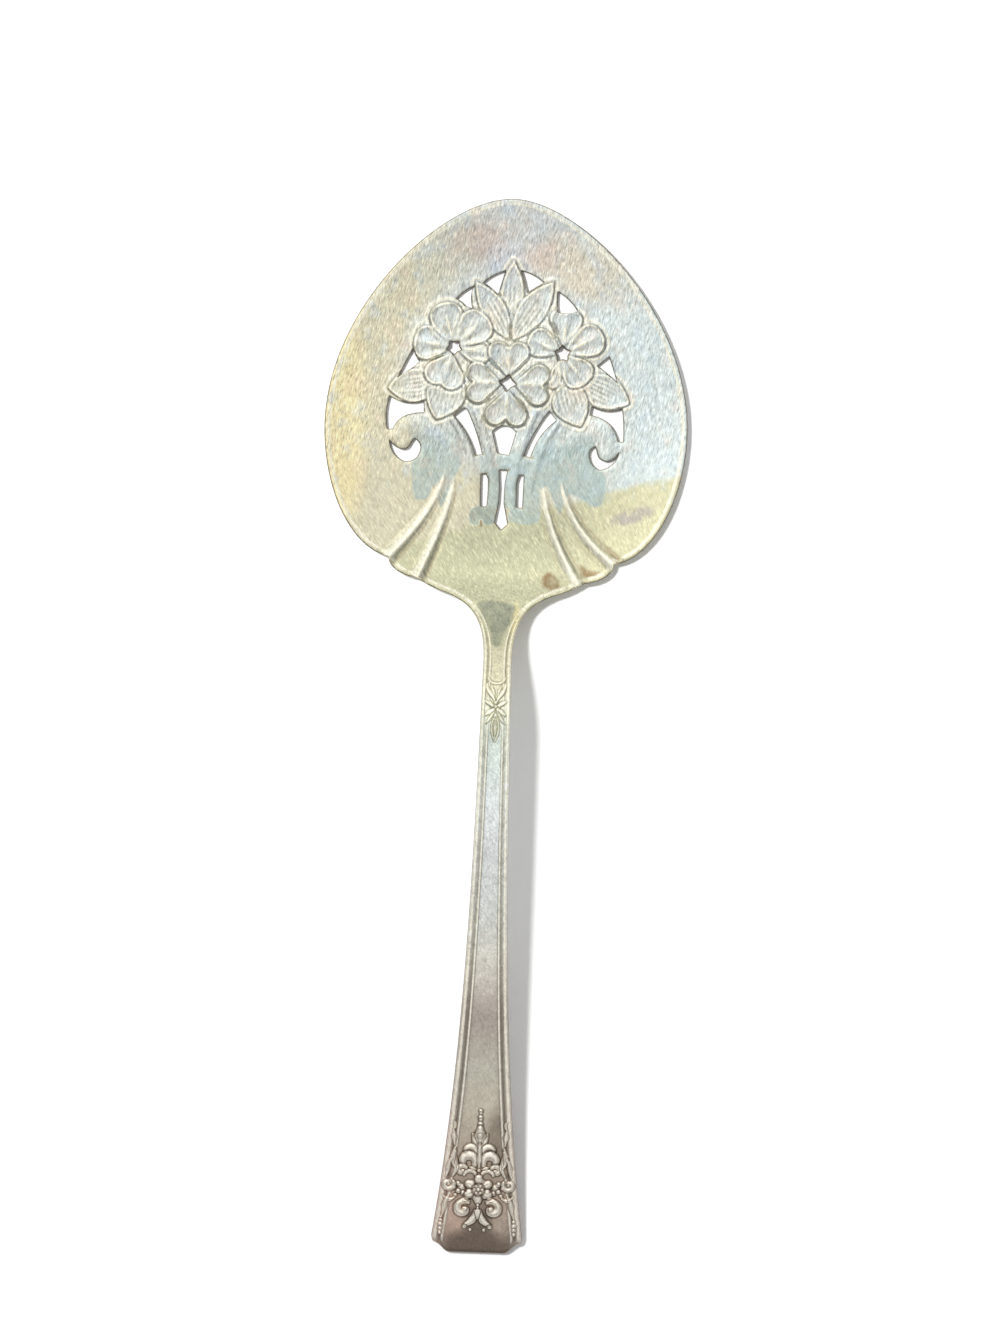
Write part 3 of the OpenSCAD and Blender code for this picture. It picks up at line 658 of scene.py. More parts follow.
END_SIDE = [
    # palmette: a leaf, two drooping leaves and a scroll
    (0.68, 0.5, 0.04, (0.5, 1, 0.7), [(0.3, 8.1), (0.6, 8.8), (1.1, 9.4), (1.35, 10.7)], 10),
    (0.72, 0.5, 0, (0.9, 1.05, 0.9), (1.75, 7.3, 1.05, 205, -15, 0.8)),
    (0.95, 0.56, 0, (0.8, 1.1, 0.9), (2.05, 5.4, 1.3, 205, -25, 0.8)),
    (0.62, 0.52, 0, (0.8, 1.05, 1), (3.2, 3.75, 0.95, 175, -150, 0.4)),
    (0.32, 0.5, (3.1, 3.75)),
    (0.48, 0.46, 0, (0.9, 1, 0.9), (1.6, 2.5, 1.15, 10, 175, 0.95)),
    (0.42, 0.44, 0, THIN, [(0.5, 3.9), (1.1, 4.2), (1.6, 4.1), (2.1, 4.6)], 8),
    # shells and a scroll beside the flower
    (0.85, 0.52, (3.25, 0.35)), (0.58, 0.46, (2.85, -0.75)), (0.55, 0.44, (3.8, -0.4)),
    (0.55, 0.44, (3.85, 1.1)), (0.5, 0.45, (4.55, 0.25)), (0.45, 0.42, (4.3, -1.2)),
    (0.55, 0.46, 0, (0.9, 1, 1), (5.7, 0.9, 1.15, 150, 470, 0.35)),
    (0.36, 0.48, (5.65, 0.95)),
    (0.52, 0.54, 0, (0.6, 1, 0.6), [(4.5, -1.6), (5.1, -2.3), (5.9, -2.2), (6.6, -1.2)], 10),
    # scrolls below the flower
    (0.85, 0.56, 0, (0.7, 1.05, 1), (2.75, -3.75, 1.5, 130, -170, 0.4)),
    (0.5, 0.54, (2.55, -3.75)),
    (0.46, 0.42, 0, THIN, [(1.5, -2.2), (2.1, -1.8), (2.9, -1.8), (3.7, -2.2)], 8),
    (0.82, 0.52, 0.04, (0.7, 1, 0.7), [(0.4, -4.2), (0.6, -5.6), (1.1, -6.5), (2.3, -6.9)], 14),
    (0.5, 0.42, (2.4, -7.3)), (0.38, 0.36, (1.3, -7.9)),
    # side scrolls along the moulding
    (0.62, 0.56, 0, (0.6, 1, 0.7), [(4.5, 7.4), (5.0, 5.6), (3.7, 4.6), (4.9, 2.6)], 16),
    (0.55, 0.54, 0, (0.6, 1, 0.5), [(4.6, 8.0), (5.1, 6.6), (5.4, 5.2), (4.5, 4.2)], 12),
    (0.52, 0.52, 0, (0.6, 1, 0.5), [(5.2, 6.0), (5.9, 4.9), (5.6, 3.6), (6.2, 2.4)], 12),
    (0.58, 0.54, 0.05, (0.5, 1, 0.5), [(4.75, 8.6), (5.0, 11.8)]),
    (0.4, 0.5, 0, (0.8, 1, 0.6), [(4.8, 11.8), (4.6, 12.4), (4.7, 12.9), (5.0, 13.2)], 8),
    (0.58, 0.54, 0, (0.6, 1, 0.5), [(5.6, -1.4), (6.5, -2.6), (6.1, -3.8), (6.9, -5.6)], 14),
    (0.42, 0.44, (6.91, -6.2)), (0.52, 0.44, (6.95, -7.0)), (0.48, 0.44, (6.99, -7.8)),
    (0.4, 0.44, (7.03, -8.6))]


def spiral(x, y, r, first, last, tight):
    """A line that winds in from radius r."""
    a = np.radians(np.linspace(first, last, 26))
    shrink = np.linspace(1, tight, 26)
    return np.column_stack([x + r * shrink * np.cos(a), y + r * shrink * np.sin(a)])


def carve_sides(f, forms, middle):
    """Carves the forms at the left and then, mirrored, at the right."""
    for side in (-1, 1):
        for r, h, *rest in forms:
            if len(rest) == 1:
                f.bead((rest[0][0] * side, middle + rest[0][1]), r, h)
                continue
            vein, widths, line, *steps = rest
            if steps:
                line = bezier(line, *steps)
            elif isinstance(line, tuple):
                line = spiral(*line)
            f.carve(np.array(line) * [side, 1] + [0, middle], r, h, vein, widths)


def neck_carving(f):
    y = NECK_FLOWER_Y
    f.carve(bezier([(-1.6, y + 5.4), (-1.3, y + 4.0), (1.3, y + 4.0), (1.6, y + 5.4)], 14), 0.3, 0.3,
            widths=(1, 1, 1))
    carve_sides(f, NECK_SIDE, y)
    f.carve([(0, y - 2.6), (0, y - 5.3)], 0.34, 0.34, widths=(0.5, 1, 0.7))
    for a in range(0, 360, 72):
        p = turned((0.74, 0), a + 90)[0]
        f.bead((p[0], y + p[1]), 0.44, 0.4)
    f.bead((0, y), 0.36, 0.5)


def end_carving(f):
    y = FLOWER_Y
    for d, r in ((15.2, 0.5), (14.75, 0.4), (13.95, 0.54), (13.45, 0.44), (12.65, 0.6), (12.1, 0.5)):
        f.bead((0, y + d), r, 0.42)
    carve_sides(f, END_SIDE, y)
    f.carve([(0, y + 9.3), (0, y + 10.4), (0, y + 11.8)], 1.15, 0.54, widths=(0.6, 1, 0.8))
    f.bead((0, y + 10.5), 0.5, 0.64)
    f.carve([(0, y + 4.4), (0, y + 9.0)], 0.46, 0.44, widths=(0.8, 1, 0.8))
    f.bead((0, y + 3.7), 0.42, 0.46)
    for a in range(6):
        p = turned((1.1, 0), 60 * a + 30)[0]
        q = turned((2.15, 0), 60 * a + 30)[0]
        f.carve([(p[0], y + p[1]), (q[0], y + q[1])], 1.12, 0.54, vein=0.08, widths=(0.8, 1, 1))
    f.bead((0, y), 1.15, 0.58)
    for a in range(6):
        b = turned((0.78, 0), 60 * a)[0]
        f.bead((b[0], y + b[1]), 0.36, 0.66)
    f.bead((0, y), 0.42, 0.72)
    f.bead((0, y - 3.1), 0.36, 0.42)
    f.carve([(0, y - 3.5), (0, y - 4.4), (0, y - 5.6)], 0.55, 0.46, widths=(0.6, 1, 0.7))


def band(f):
    """The moulding of the handle, laid in before its carving."""
    i = np.nonzero(f.y < -BAND_START)[0]
    x, y = f.x[i], f.y[i]
    g = grip(y)
    share = np.abs(x) / half_width(y)
    p = panel(y)
    b = np.clip((share - p) / (1 - p), 0, 1)
    carved = bump((y - NECK_FLOWER_Y + 1.2) / 6.5)
    soft = 1 - 0.75 * carved * (b < 0.6)
    fade = g * ease((HANDLE_BACK + y - 1.2) / 2.2) * soft
    width = (1 - p) * half_width(y)
    f.h[i] = MOULDING * np.minimum(1, width / 2.2) * fade * eased_profile(b, BAND, BAND_LIFT)
    f.tone[i] = fade * eased_profile(b, BAND, BAND_TONE)


def fields(x, y, ribs, roll):
    """Height of the top surface and tone of the metal at plan points."""
    f = Field(x, y, ribs)
    edge = nearest(x, y, OUTLINE)[0]
    band(f)
    flutes(f)
    bouquet(f)
    neck_carving(f)
    end_carving(f)
    g = grip(y)
    reach = mix(0.55, 0.42, g)
    rounding = mix(roll, 0.8, g) * (1 - np.sqrt(np.maximum(0, 1 - (1 - clamp01(edge / reach)) ** 2)))
    f.h = f.h * ease((edge + 0.05) / 0.3) - rounding
    # A painted highlight in a line about 0.85 mm inside the blade's edge
    f.tone += (1 - g) * 0.9 * bump((edge - 0.85) / 0.5)
    # A painted shadow: the outermost 0.3 mm of the top is darkened to the dark cut-edge tone
    f.tone = mix(f.tone, -2.0, ease(1 - edge / 0.32))
    for k, hole in enumerate(HOLES):
        i = around(x, y, hole, 0.6)
        d = nearest(x[i], y[i], hole)[0]
        f.h[i] -= 0.16 * ease(1 - d / 0.22)
        # A painted shadow round each piercing, wider round the star holes
        f.tone[i] = mix(f.tone[i], -2.0, ease(1 - d / (0.2 if k < len(CUTS) else 0.45)))
    stains(f)
    return face_z(x, y) + f.h, np.clip(f.tone, -2, 1), f.stain


def underside(x, y):
    """Height of the underside, lifted towards its edge."""
    g = grip(y)
    share = np.abs(x) / np.where(y < 0, half_width(np.minimum(y, 0)), HALF_W)
    lift = g * np.interp(share, [0.5, 0.85, 1], [0, 0.1, 0.65])
    edge = nearest(x, y, OUTLINE)[0]
    return under_z(x, y) + lift + (1 - g) * 0.15 * (1 - clamp01(edge / 0.5))


def under_tone(x, y):
    """Tone of the underside and the walls: a little tarnished, and darkened in the piercings as a painted
    shadow.
    """
    tone = np.full(x.shape, -0.35)
    for hole in HOLES:
        i = around(x, y, hole, 0.1)
        tone[i] = np.where(nearest(x[i], y[i], hole)[0] < 0.02, -1.6, tone[i])
    return tone


# The mesh

class Scatter:
    """Plan points that keep their distance from the points before them."""

    cell = 0.4

    def __init__(self):
        self.grid, self.points = {}, []

    def add(self, points, apart, keep_all=False):
        for p in points:
            x, y = float(p[0]), float(p[1])
            i, j = math.floor(x / self.cell), math.floor(y / self.cell)
            reach = math.ceil(apart / self.cell)
            if not keep_all:
                near = (q for a in range(i - reach, i + reach + 1) for b in range(j - reach, j + reach + 1)
                        for q in self.grid.get((a, b), ()))
                if any((q[0] - x) ** 2 + (q[1] - y) ** 2 < apart * apart for q in near):
                    continue
            self.grid.setdefault((i, j), []).append((x, y))
            self.points.append((x, y))


def metal(points, margin):
    """The points that lie in the metal, a margin or more from its edges."""
    p = np.array(points, float)
    x, y = p[:, 0], p[:, 1]
    keep = inside(x, y, OUTLINE) & (nearest(x, y, OUTLINE)[0] > margin)
    for hole in HOLES:
        i = around(x, y, hole, margin)
        keep[i] &= ~inside(x[i], y[i], hole) & (nearest(x[i], y[i], hole)[0] > margin)
    return p[keep]


def offset(line, d):
    """A closed line moved inwards by d, without the points that come too close to it again."""
    p = evenly(line, 0.27)
    area = np.sum(p[:, 0] * np.roll(p[:, 1], -1) - np.roll(p[:, 0], -1) * p[:, 1])
    q = p + normals(np.roll(p, -1, axis=0) - np.roll(p, 1, axis=0)) * d * (1 if area > 0 else -1)
    return q[nearest(q[:, 0], q[:, 1], line)[0] > 0.93 * abs(d)]


def lattice(low, high, step):
    """A triangular lattice of points over a box."""
    rows = np.arange(low[1], high[1], step * 0.866)
    cols = np.arange(low[0], high[0], step)
    x, y = np.meshgrid(cols, rows)
    x = x + (np.arange(len(rows)) % 2)[:, None] * step / 2
    return np.column_stack([x.ravel(), y.ravel()])


def relief_lines():
    """The plan lines of the bouquet, from the front to the back."""
    out = []
    for at, petals in (MIDDLE_FLOWER, RIGHT_FLOWER, LEFT_FLOWER):
        out += [petal_line(at, *petal) for petal in petals[::-1]]
    for base, tip, w, bend, _ in LEAVES[::-1]:
        base, reach, degrees = leaf_way(base, tip)
        out.append(base + turned(leaf_blade(reach, w, bend), degrees))
    return out


def rib_lines():
    """Points along the crests and hollows of the veins of the leaves and the ribs of the petals."""
    out = []
    for base, tip, w, bend, _ in LEAVES[::-1]:
        base, reach, degrees = leaf_way(base, tip)
        u = np.arange(0.06, 0.86, 0.4 / reach)
        half = int(2 * w / VEIN_GAP)
        for k in range(-half, half + 1):
            across = k * VEIN_GAP / 2 * np.sin(np.pi * u) ** 0.5 + bend * np.sin(np.pi * u)
            out.append(base + turned(np.column_stack([reach * u, across]), degrees))
    for at, petals in (MIDDLE_FLOWER, RIGHT_FLOWER, LEFT_FLOWER):
        for degrees, *_ in petals:
            for k in range(-5, 6):
                a = math.radians(degrees) + k * math.pi / RIBS
                r = np.arange(1.8, 5.2, 0.35)
                out.append(np.column_stack([at[0] + r * math.cos(a), at[1] + r * math.sin(a)]))
    return out


def border_points():
    """Points beside the plan lines of the bouquet, without those that a form in front of them hides."""
    hidden, borders = [], []
    for line in relief_lines():
        q = np.vstack([offset(line, d) for d in (-0.04, 0.18, 0.42, 0.75, -0.25, -0.5, -0.8)])
        for front in hidden:
            i = around(q[:, 0], q[:, 1], front, 0)
            deep = inside(q[i, 0], q[i, 1], front) & (nearest(q[i, 0], q[i, 1], front)[0] > 0.5)
            q = np.delete(q, i[deep], axis=0)
        borders.append(q)
        hidden.append(line)
    return np.vstack(borders)


def stain_points():
    """Points along both edges of the soft outline of each stain."""
    return np.vstack([offset(through(corners + corners[:1], 5)[:-1], d)
                      for corners, _, soft, _ in STAINS for d in (-0.5 * soft, 0.5 * soft)])


def flute_points():
    """Rows of points beside the middle line of each flute."""
    beside = []
    for curve in FLUTES:
        line = bezier(curve, 60)
        normal = normals(np.gradient(line, axis=0))
        beside += [line + d * normal for d in np.arange(-2.4, 2.41, 0.24)]
    return np.vstack(beside)


# Lines along the handle's band, as shares from the panel's edge to the edge of the handle
BAND_LINES = (0, 0.03, 0.06, 0.1, 0.15, 0.2, 0.24, 0.28, 0.315, 0.35, 0.385, 0.42, 0.46, 0.5, 0.56, 0.62, 0.72,
              0.82, 0.88)


def handle_points(s):
    """Adds rows along the handle's band, and gives the pairs of them to join and the points over its panel.

    The pairs are joined along the handle, so that its moulding runs straight.
    """
    rows = np.concatenate([np.arange(-32, -46, -0.4), np.arange(-46, -59.4, -0.2),
                           np.arange(-59.6, FLOWER_Y + 16.6, -0.7),
                           np.arange(FLOWER_Y + 16.5, -HANDLE_BACK + 0.3, -0.17)])
    w, p = half_width(rows), panel(rows)
    joined = []
    for b in BAND_LINES:
        for side in (-1, 1):
            x = side * w * mix(p, 1, b)
            keep = inside(x, rows, OUTLINE) & (nearest(x, rows, OUTLINE)[0] > 0.1)
            for k in np.nonzero(keep)[0]:
                if k and keep[k - 1]:
                    joined.append((len(s.points) - 1, len(s.points)))
                s.add([(x[k], rows[k])], 0, keep_all=True)
    across = [np.column_stack([w * p * share, rows]) for share in (0, 0.35, -0.35, 0.7, -0.7)]
    return joined, np.vstack(across)


def carving_points(s, carving_step):
    """Adds fine lattices where the ends of the handle are carved."""
    fine = metal(lattice((-7.9, FLOWER_Y - 9.2), (7.9, FLOWER_Y + 16.3), carving_step), 0.12)
    x, y = np.abs(fine[:, 0]), fine[:, 1] - FLOWER_Y
    carved = x < np.interp(y, [-9.2, -8.2, -5, 2, 13.4, 14.6, 16.3], [0.5, 3.5, 9, 9, 6.5, 1, 1])
    carved &= ~((y > 11.6) & (x > 1.3) & (x < 4.0)) & ~((y < -6) & (x > 3.2) & (x < 6.0))
    s.add(fine[carved], 0.6 * carving_step)
    neck_step = 0.85 * carving_step
    fine = lattice((-2.6, NECK_FLOWER_Y - 6.9), (2.6, NECK_FLOWER_Y + 5.8), neck_step)
    s.add(metal(fine, 0.12), 0.6 * neck_step)


def top_points(step, carving_step):
    """Plan points of the top surface, close together where its relief is fine."""
    s = Scatter()
    loops = [OUTLINE_LOOP] + HOLES
    for loop in loops:
        s.add(loop, 0, keep_all=True)
    for d in (-0.1, -0.24):
        s.add(metal(np.vstack([offset(hole, d) for hole in HOLES]), 0.05), 0.08)
    for d in (0.12, 0.26, 0.6, 0.95, 1.4):
        s.add(metal(offset(OUTLINE, d)[::2], 0.06), 0.09)
    joined, panel_points = handle_points(s)
    s.add(metal(border_points(), 0.1), 0.14)
    s.add(metal(np.vstack(rib_lines()), 0.2), 0.16)
    s.add(metal(stain_points(), 0.15), 0.16)
    s.add(metal(flute_points(), 0.2), 0.2)
    s.add(metal(panel_points, 0.12), 0.3)
    carving_points(s, carving_step)
    bouquet_grid = metal(lattice((-24.5, -1), (24.5, 34), step), 0.12)
    x, y = bouquet_grid[:, 0], bouquet_grid[:, 1]
    s.add(bouquet_grid[(x / 25) ** 2 + ((y - 4) / 30) ** 2 < 1], 0.72 * step)
    s.add(metal(lattice((-24, -20), (24, -1), 0.55), 0.2), 0.38)
    s.add(metal(lattice((-26, -33), (26, -5), 0.65), 0.25), 0.42)
    s.add(metal(lattice((-HALF_W, -44), (HALF_W, BLADE_TIP), 1.15), 0.4), 0.8)
    return np.array(s.points), loops, joined


def triangulated(points, loops, joined=()):
    """The metal's plan cut into triangles, along its outline, its holes and the joined points."""
    edges, first = list(joined), 0
    for loop in loops:
        n = len(loop)
        edges += [(first + i, first + (i + 1) % n) for i in range(n)]
        first += n
    flat = [Vector((float(p[0]), float(p[1]))) for p in points]
    verts, _, faces, _, _, _ = delaunay_2d_cdt(flat, edges, [], 1, 1e-6)
    xy = np.array([tuple(v) for v in verts])
    tri = np.array([f for f in faces if len(f) == 3])
    middle = xy[tri].mean(axis=1)
    keep = inside(middle[:, 0], middle[:, 1], OUTLINE_LOOP)
    for hole in HOLES:
        i = around(middle[:, 0], middle[:, 1], hole, 0.1)
        keep[i] &= ~inside(middle[i, 0], middle[i, 1], hole)
    return xy, tri[keep]


def sheet_mesh(bm, xy, triangles, z, values):
    """Adds a sheet of triangles. Values holds numbers, one to a point, for each of the mesh's layers."""
    verts = [bm.verts.new((float(x) * MM, float(y) * MM, float(h) * MM)) for (x, y), h in zip(xy, z)]
    for name, numbers in values.items():
        layer = bm.verts.layers.float[name]
        for v, number in zip(verts, numbers):
            v[layer] = float(number)
    for t in triangles:
        bm.faces.new([verts[i] for i in t])
    for v in verts:
        if not v.link_faces:
            bm.verts.remove(v)


def server_mesh(sizes):
    """The whole server: its top from plan points, its walls extruded from the edges, and its underside.

    The triangles follow the plan lines of the relief, which no grid or subdivision does, so the plan is
    triangulated and then raised.
    """
    ribs, roll = sizes.rib_height / MM, sizes.rim_roll / MM
    points, loops, joined = top_points(sizes.bouquet_step / MM, sizes.carving_step / MM)
    bm = bmesh.new()
    bm.verts.layers.float.new("tone")
    bm.verts.layers.float.new("stain")
    xy, tri = triangulated(points, loops, joined)
    z, tone, stain = fields(xy[:, 0], xy[:, 1], ribs, roll)
    sheet_mesh(bm, xy, tri, z, {"tone": tone, "stain": stain})
    rim = [e for e in bm.edges if e.is_boundary]
    for e in rim:
        e.smooth = False
    layer = bm.verts.layers.float["tone"]
    # The wall goes down in two steps, so that the painted shadow line of the upper edge stays narrow
    for depth in (0.12, 1.0):
        wall = bmesh.ops.extrude_edge_only(bm, edges=rim)["geom"]
        rim = [e for e in wall if isinstance(e, bmesh.types.BMEdge) and e.is_boundary]
        foot = [v for v in wall if isinstance(v, bmesh.types.BMVert)]
        x, y = (np.array([v.co[k] for v in foot]) / MM for k in (0, 1))
        for v, h, dark in zip(foot, underside(x, y), under_tone(x, y)):
            v.co.z = mix(v.co.z, h * MM, depth)
            v[layer] = dark
    s = Scatter()
    for loop in loops:
        s.add(loop, 0, keep_all=True)
    s.add(metal(offset(OUTLINE, 0.5)[::3], 0.2), 0.3)
    s.add(metal(lattice((-HALF_W, -HANDLE_BACK), (HALF_W, BLADE_TIP), 1.6), 0.6), 1.0)
    xy, tri = triangulated(np.array(s.points), loops)
    x, y = xy[:, 0], xy[:, 1]
    sheet_mesh(bm, xy, tri[:, ::-1], underside(x, y), {"tone": under_tone(x, y)})
    bmesh.ops.remove_doubles(bm, verts=bm.verts[:], dist=1e-8)
    bmesh.ops.translate(bm, verts=bm.verts[:], vec=(0, -REST_FRONT * MM, 0))
    for face in bm.faces:
        face.smooth = True
    for e in bm.edges:
        if len(e.link_faces) == 2 and e.calc_face_angle(0) > math.radians(50):
            e.smooth = False
    return bm


# Materials

def node(tree, kind, links=(), **settings):
    """Adds one node, with its settings and the links or values of its inputs."""
    n = tree.nodes.new(kind)
    for key, value in settings.items():
        setattr(n, key, value)
    for name, source in dict(links).items():
        if isinstance(source, bpy.types.NodeSocket):
            tree.links.new(source, n.inputs[name])
        else:
            n.inputs[name].default_value = source
    return n


# Casts of the tarnish: colour, middle, half-width and half-height of the ellipse in millimetres, softness and
# unevenness of its border, and strength. On the blade, partly tarnish and partly painted reflection: grey,
# peach and pink above, blue-grey, yellow at left
BLADE_TONES = [("#cccdca", -3, 38, 14, 18, 0.9, 0.6, 0.75), ("#ddd0b6", 12, 30, 10, 6, 1.0, 0.5, 0.7),
               ("#ceb9ac", -7.5, 35.5, 5.5, 3.5, 1.0, 0.9, 0.6), ("#d3c5bd", 5, 33, 3.5, 3, 1.0, 0.9, 0.5),
               ("#c3c9d2", -1, 31.5, 3.5, 4, 1.0, 0.9, 0.5), ("#f6e8b6", -32.5, -1, 6, 20, 0.9, 0.5, 0.85),
               ("#cbccb8", -12, 33, 5, 12, 0.8, 0.8, 0.4)]
BOUQUET_TONES = [("#cfd5d1", 0, 10.5, 20.5, 19.5, 0.25, 0.15, 0.8)]
# On the handle: yellow at the neck, taupe at the sides of the end, dark beside the ornament and below it
HANDLE_TONES = [
    ("#dccf99", 3.1, -37.5, 0.9, 4.5, 0.8, 0.3, 0.8), ("#dfc8ba", -7.5, -140, 2.4, 20, 0.8, 0.3, 0.75),
    ("#d6cabd", 7.8, -143, 1.8, 16, 0.8, 0.3, 0.6), ("#8a7e70", 3, -134, 1.6, 6, 1, 0.9, 0.75),
    ("#d3b9a8", -4.8, -149.5, 2.4, 4.2, 0.9, 0.6, 0.8), ("#cdbcac", 4.6, -149.8, 2, 4, 0.9, 0.6, 0.6),
    ("#766a5f", 0.2, -150, 2.3, 3, 1, 0.6, 0.8), ("#7a6d62", -0.5, -154.5, 6.6, 2.9, 0.8, 0.6, 0.85)]
# Along the handle, over this stretch behind the widest line: pale mint, lilac grey, then brown
HANDLE_SPAN = (30.0, 156.0)
HANDLE_STOPS = [(0.0, "#c9c5a5"), (0.14, "#dcd7b9"), (0.23, "#d8e2d8"), (0.32, "#e2e8e6"), (0.4, "#d6d8d7"),
                (0.48, "#d9ddd7"), (0.56, "#dbd6cb"), (0.64, "#aea49b"), (0.72, "#c6c2b3"), (0.78, "#cdc4b3"),
                (0.86, "#b6a797"), (0.95, "#a39283"), (1.0, "#7f7267")]


def worn_silver_plate_with_painted_light(colours):
    """Worn silver plate: polished once, then used and washed for decades.

    Fine wiping scratches haze its reflections, tarnish yellows it in broad tones, partly as painted reflection,
    and stays brown in the grooves with painted shade, and the crests are rubbed pale with painted highlights.
    """
    m = bpy.data.materials.new("worn_silver_plate_with_painted_light")
    m.use_nodes = True
    t = m.node_tree
    t.nodes.clear()
    place = node(t, "ShaderNodeTexCoord").outputs["Object"]
    axes = node(t, "ShaderNodeSeparateXYZ", {0: place})
    x = axes.outputs[0]

    def math_of(operation, a, b=0.0, clamp=False):
        return node(t, "ShaderNodeMath", {0: a, 1: b}, operation=operation, use_clamp=clamp).outputs[0]

    def plus(a, b):
        return math_of("ADD", a, b)

    def less(a, b):
        return math_of("SUBTRACT", a, b)

    def times(a, b, clamp=False):
        return math_of("MULTIPLY", a, b, clamp)

    def swing(value):
        """Noise as a change around 0."""
        return less(value, 0.5)

    y = plus(axes.outputs[1], REST_FRONT * MM)

    def ramp(value, low, high):
        """0 to 1 as the value goes from low to high."""
        return node(t, "ShaderNodeMapRange", {0: value, 1: low, 2: high, 3: 0.0, 4: 1.0},
                    interpolation_type="SMOOTHSTEP").outputs[0]

    def over(base, top, factor):
        return node(t, "ShaderNodeMix", {0: factor, 6: base, 7: top}, data_type="RGBA").outputs[2]

    def noise(scale, detail, stretch=(1, 1, 1), turn=0.0):
        """Noise in strokes longer than wide by the stretch, leaning to the right by the turn."""
        vector = node(t, "ShaderNodeMapping", {"Vector": place, "Scale": stretch,
                                               "Rotation": (0, 0, -math.radians(turn))},
                      vector_type="TEXTURE").outputs[0]
        return node(t, "ShaderNodeTexNoise", {"Vector": vector, "Scale": scale, "Detail": detail,
                                              "Roughness": 0.6}).outputs[0]

    def blob(cx, cy, rx, ry, soft, wobble, slant=0.0):
        """1 inside an ellipse in millimetres, which may rise to the right by the slant, and 0 outside it."""
        px = times(less(x, cx * MM), 1 / (rx * MM))
        py = less(times(less(y, cy * MM), 1 / (ry * MM)), times(px, slant * rx / ry))
        r = math_of("SQRT", plus(times(px, px), times(py, py)))
        r = plus(r, times(swing(drift), wobble))
        return ramp(r, 1 + soft / 2, 1 - soft / 2)

    def cast(base, tones):
        for code, *ellipse, strength in tones:
            base = over(base, linear(code), times(blob(*ellipse), strength))
        return base

    # Noise of 12 mm bends the borders of the tones, as wiping does
    drift = noise(85, 3)
    cloud = noise(45, 4)
    mottle = noise(420, 3)
    # The blade is yellowed at the left and blue-white at the right: partly tarnish, partly painted reflection
    colour = over(tuple(colours.plate), tuple(colours.cool), ramp(plus(x, times(y, 0.35)), -0.006, 0.026))
    colour = cast(colour, BLADE_TONES)
    # Below a slanted border the plate is yellower, and most at the right
    lean = less(y, times(x, 0.29))
    lower = ramp(plus(lean, times(swing(drift), 0.004)), -0.0162, -0.018)
    colour = over(colour, linear("#c8c7a7"), lower)
    colour = over(colour, linear("#d6d2ad"), times(times(lower, ramp(x, 0.012, 0.02)), 0.7))
    colour = cast(colour, BOUQUET_TONES)
    # A grey smear at the lower right
    smear = times(times(blob(24.6, -15.6, 4.3, 1.4, 0.8, 0.6, 0.28), 0.85), ramp(mottle, 0.3, 0.5))
    colour = over(colour, linear("#b2aca3"), smear)
    down = times(y, -1000)
    along = node(t, "ShaderNodeMapRange", {0: down, 1: HANDLE_SPAN[0], 2: HANDLE_SPAN[1]}).outputs[0]
    tones = node(t, "ShaderNodeValToRGB", {0: along})
    while len(tones.color_ramp.elements) < len(HANDLE_STOPS):
        tones.color_ramp.elements.new(0.5)
    for element, (at, code) in zip(tones.color_ramp.elements, HANDLE_STOPS):
        element.position, element.color = at, linear(code)
    colour = over(colour, tones.outputs[0], ramp(y, -0.040, -0.0425))
    colour = cast(colour, HANDLE_TONES)
    # Blue-grey patches where a wet cloth dried, and brown spots, both uneven
    stain = node(t, "ShaderNodeAttribute", attribute_name="stain").outputs["Fac"]
    uneven = plus(0.3, times(mottle, 0.95))
    dried = over(tuple(colours.stain), linear("#8c907f"), ramp(y, -0.026, -0.03))
    colour = over(colour, dried, times(ramp(stain, 0.0, 1.0), uneven, clamp=True))
    colour = over(colour, linear("#9b9f8b"), times(ramp(stain, 1.0, 1.3), 0.95))
    colour = over(colour, linear("#8f7350"), times(ramp(stain, 0.0, -1.0), uneven, clamp=True))
    # Grooves hold olive tarnish on the blade and brown at the end of the handle, darkened further as painted
    # shade, and crests are rubbed pale and painted as highlights
    tone = node(t, "ShaderNodeAttribute", attribute_name="tone").outputs["Fac"]
    brown = ramp(y, -0.07, -0.13)
    groove_tarnish_and_shade = over(linear("#b3a98c"), tuple(colours.toffee), brown)
    colour = over(colour, groove_tarnish_and_shade, times(ramp(tone, 0.0, -1.0), 0.76))
    # Painted shadow: the cut edges and piercings are darkened to dark brown
    colour = over(colour, linear("#4b4237"), times(ramp(tone, -1.0, -2.0), 0.85))
    colour = over(colour, over(linear("#f6f2dc"), linear("#fbf3e4"), brown), times(ramp(tone, 0.05, 0.9), 0.88))
    # Wiping scratches in short strokes 0.3 mm wide, near upright on the upper blade and slanted below
    upright = noise(3700, 2, (1, 4.5, 1), 12)
    slanted = noise(3700, 2, (1, 5, 1), -30)
    low_blade = ramp(y, 0.0, -0.02)
    lying = less(low_blade, times(ramp(y, -0.034, -0.044), 0.45))
    streak = node(t, "ShaderNodeMix", {0: lying, 2: upright, 3: slanted}).outputs[0]
    grain = noise(1500, 3, (1, 1.7, 1))
    tint = noise(330, 3, (1, 1.3, 1))
    deep = less(1.35, times(lying, 0.45))
    value = plus(times(swing(streak), deep), times(swing(grain), 0.5))
    value = plus(value, times(swing(cloud), 0.3))
    value = plus(value, times(ramp(streak, 0.56, 0.7), 0.2))
    value = less(value, times(ramp(streak, 0.41, 0.33), less(0.1, times(lying, 0.07))))
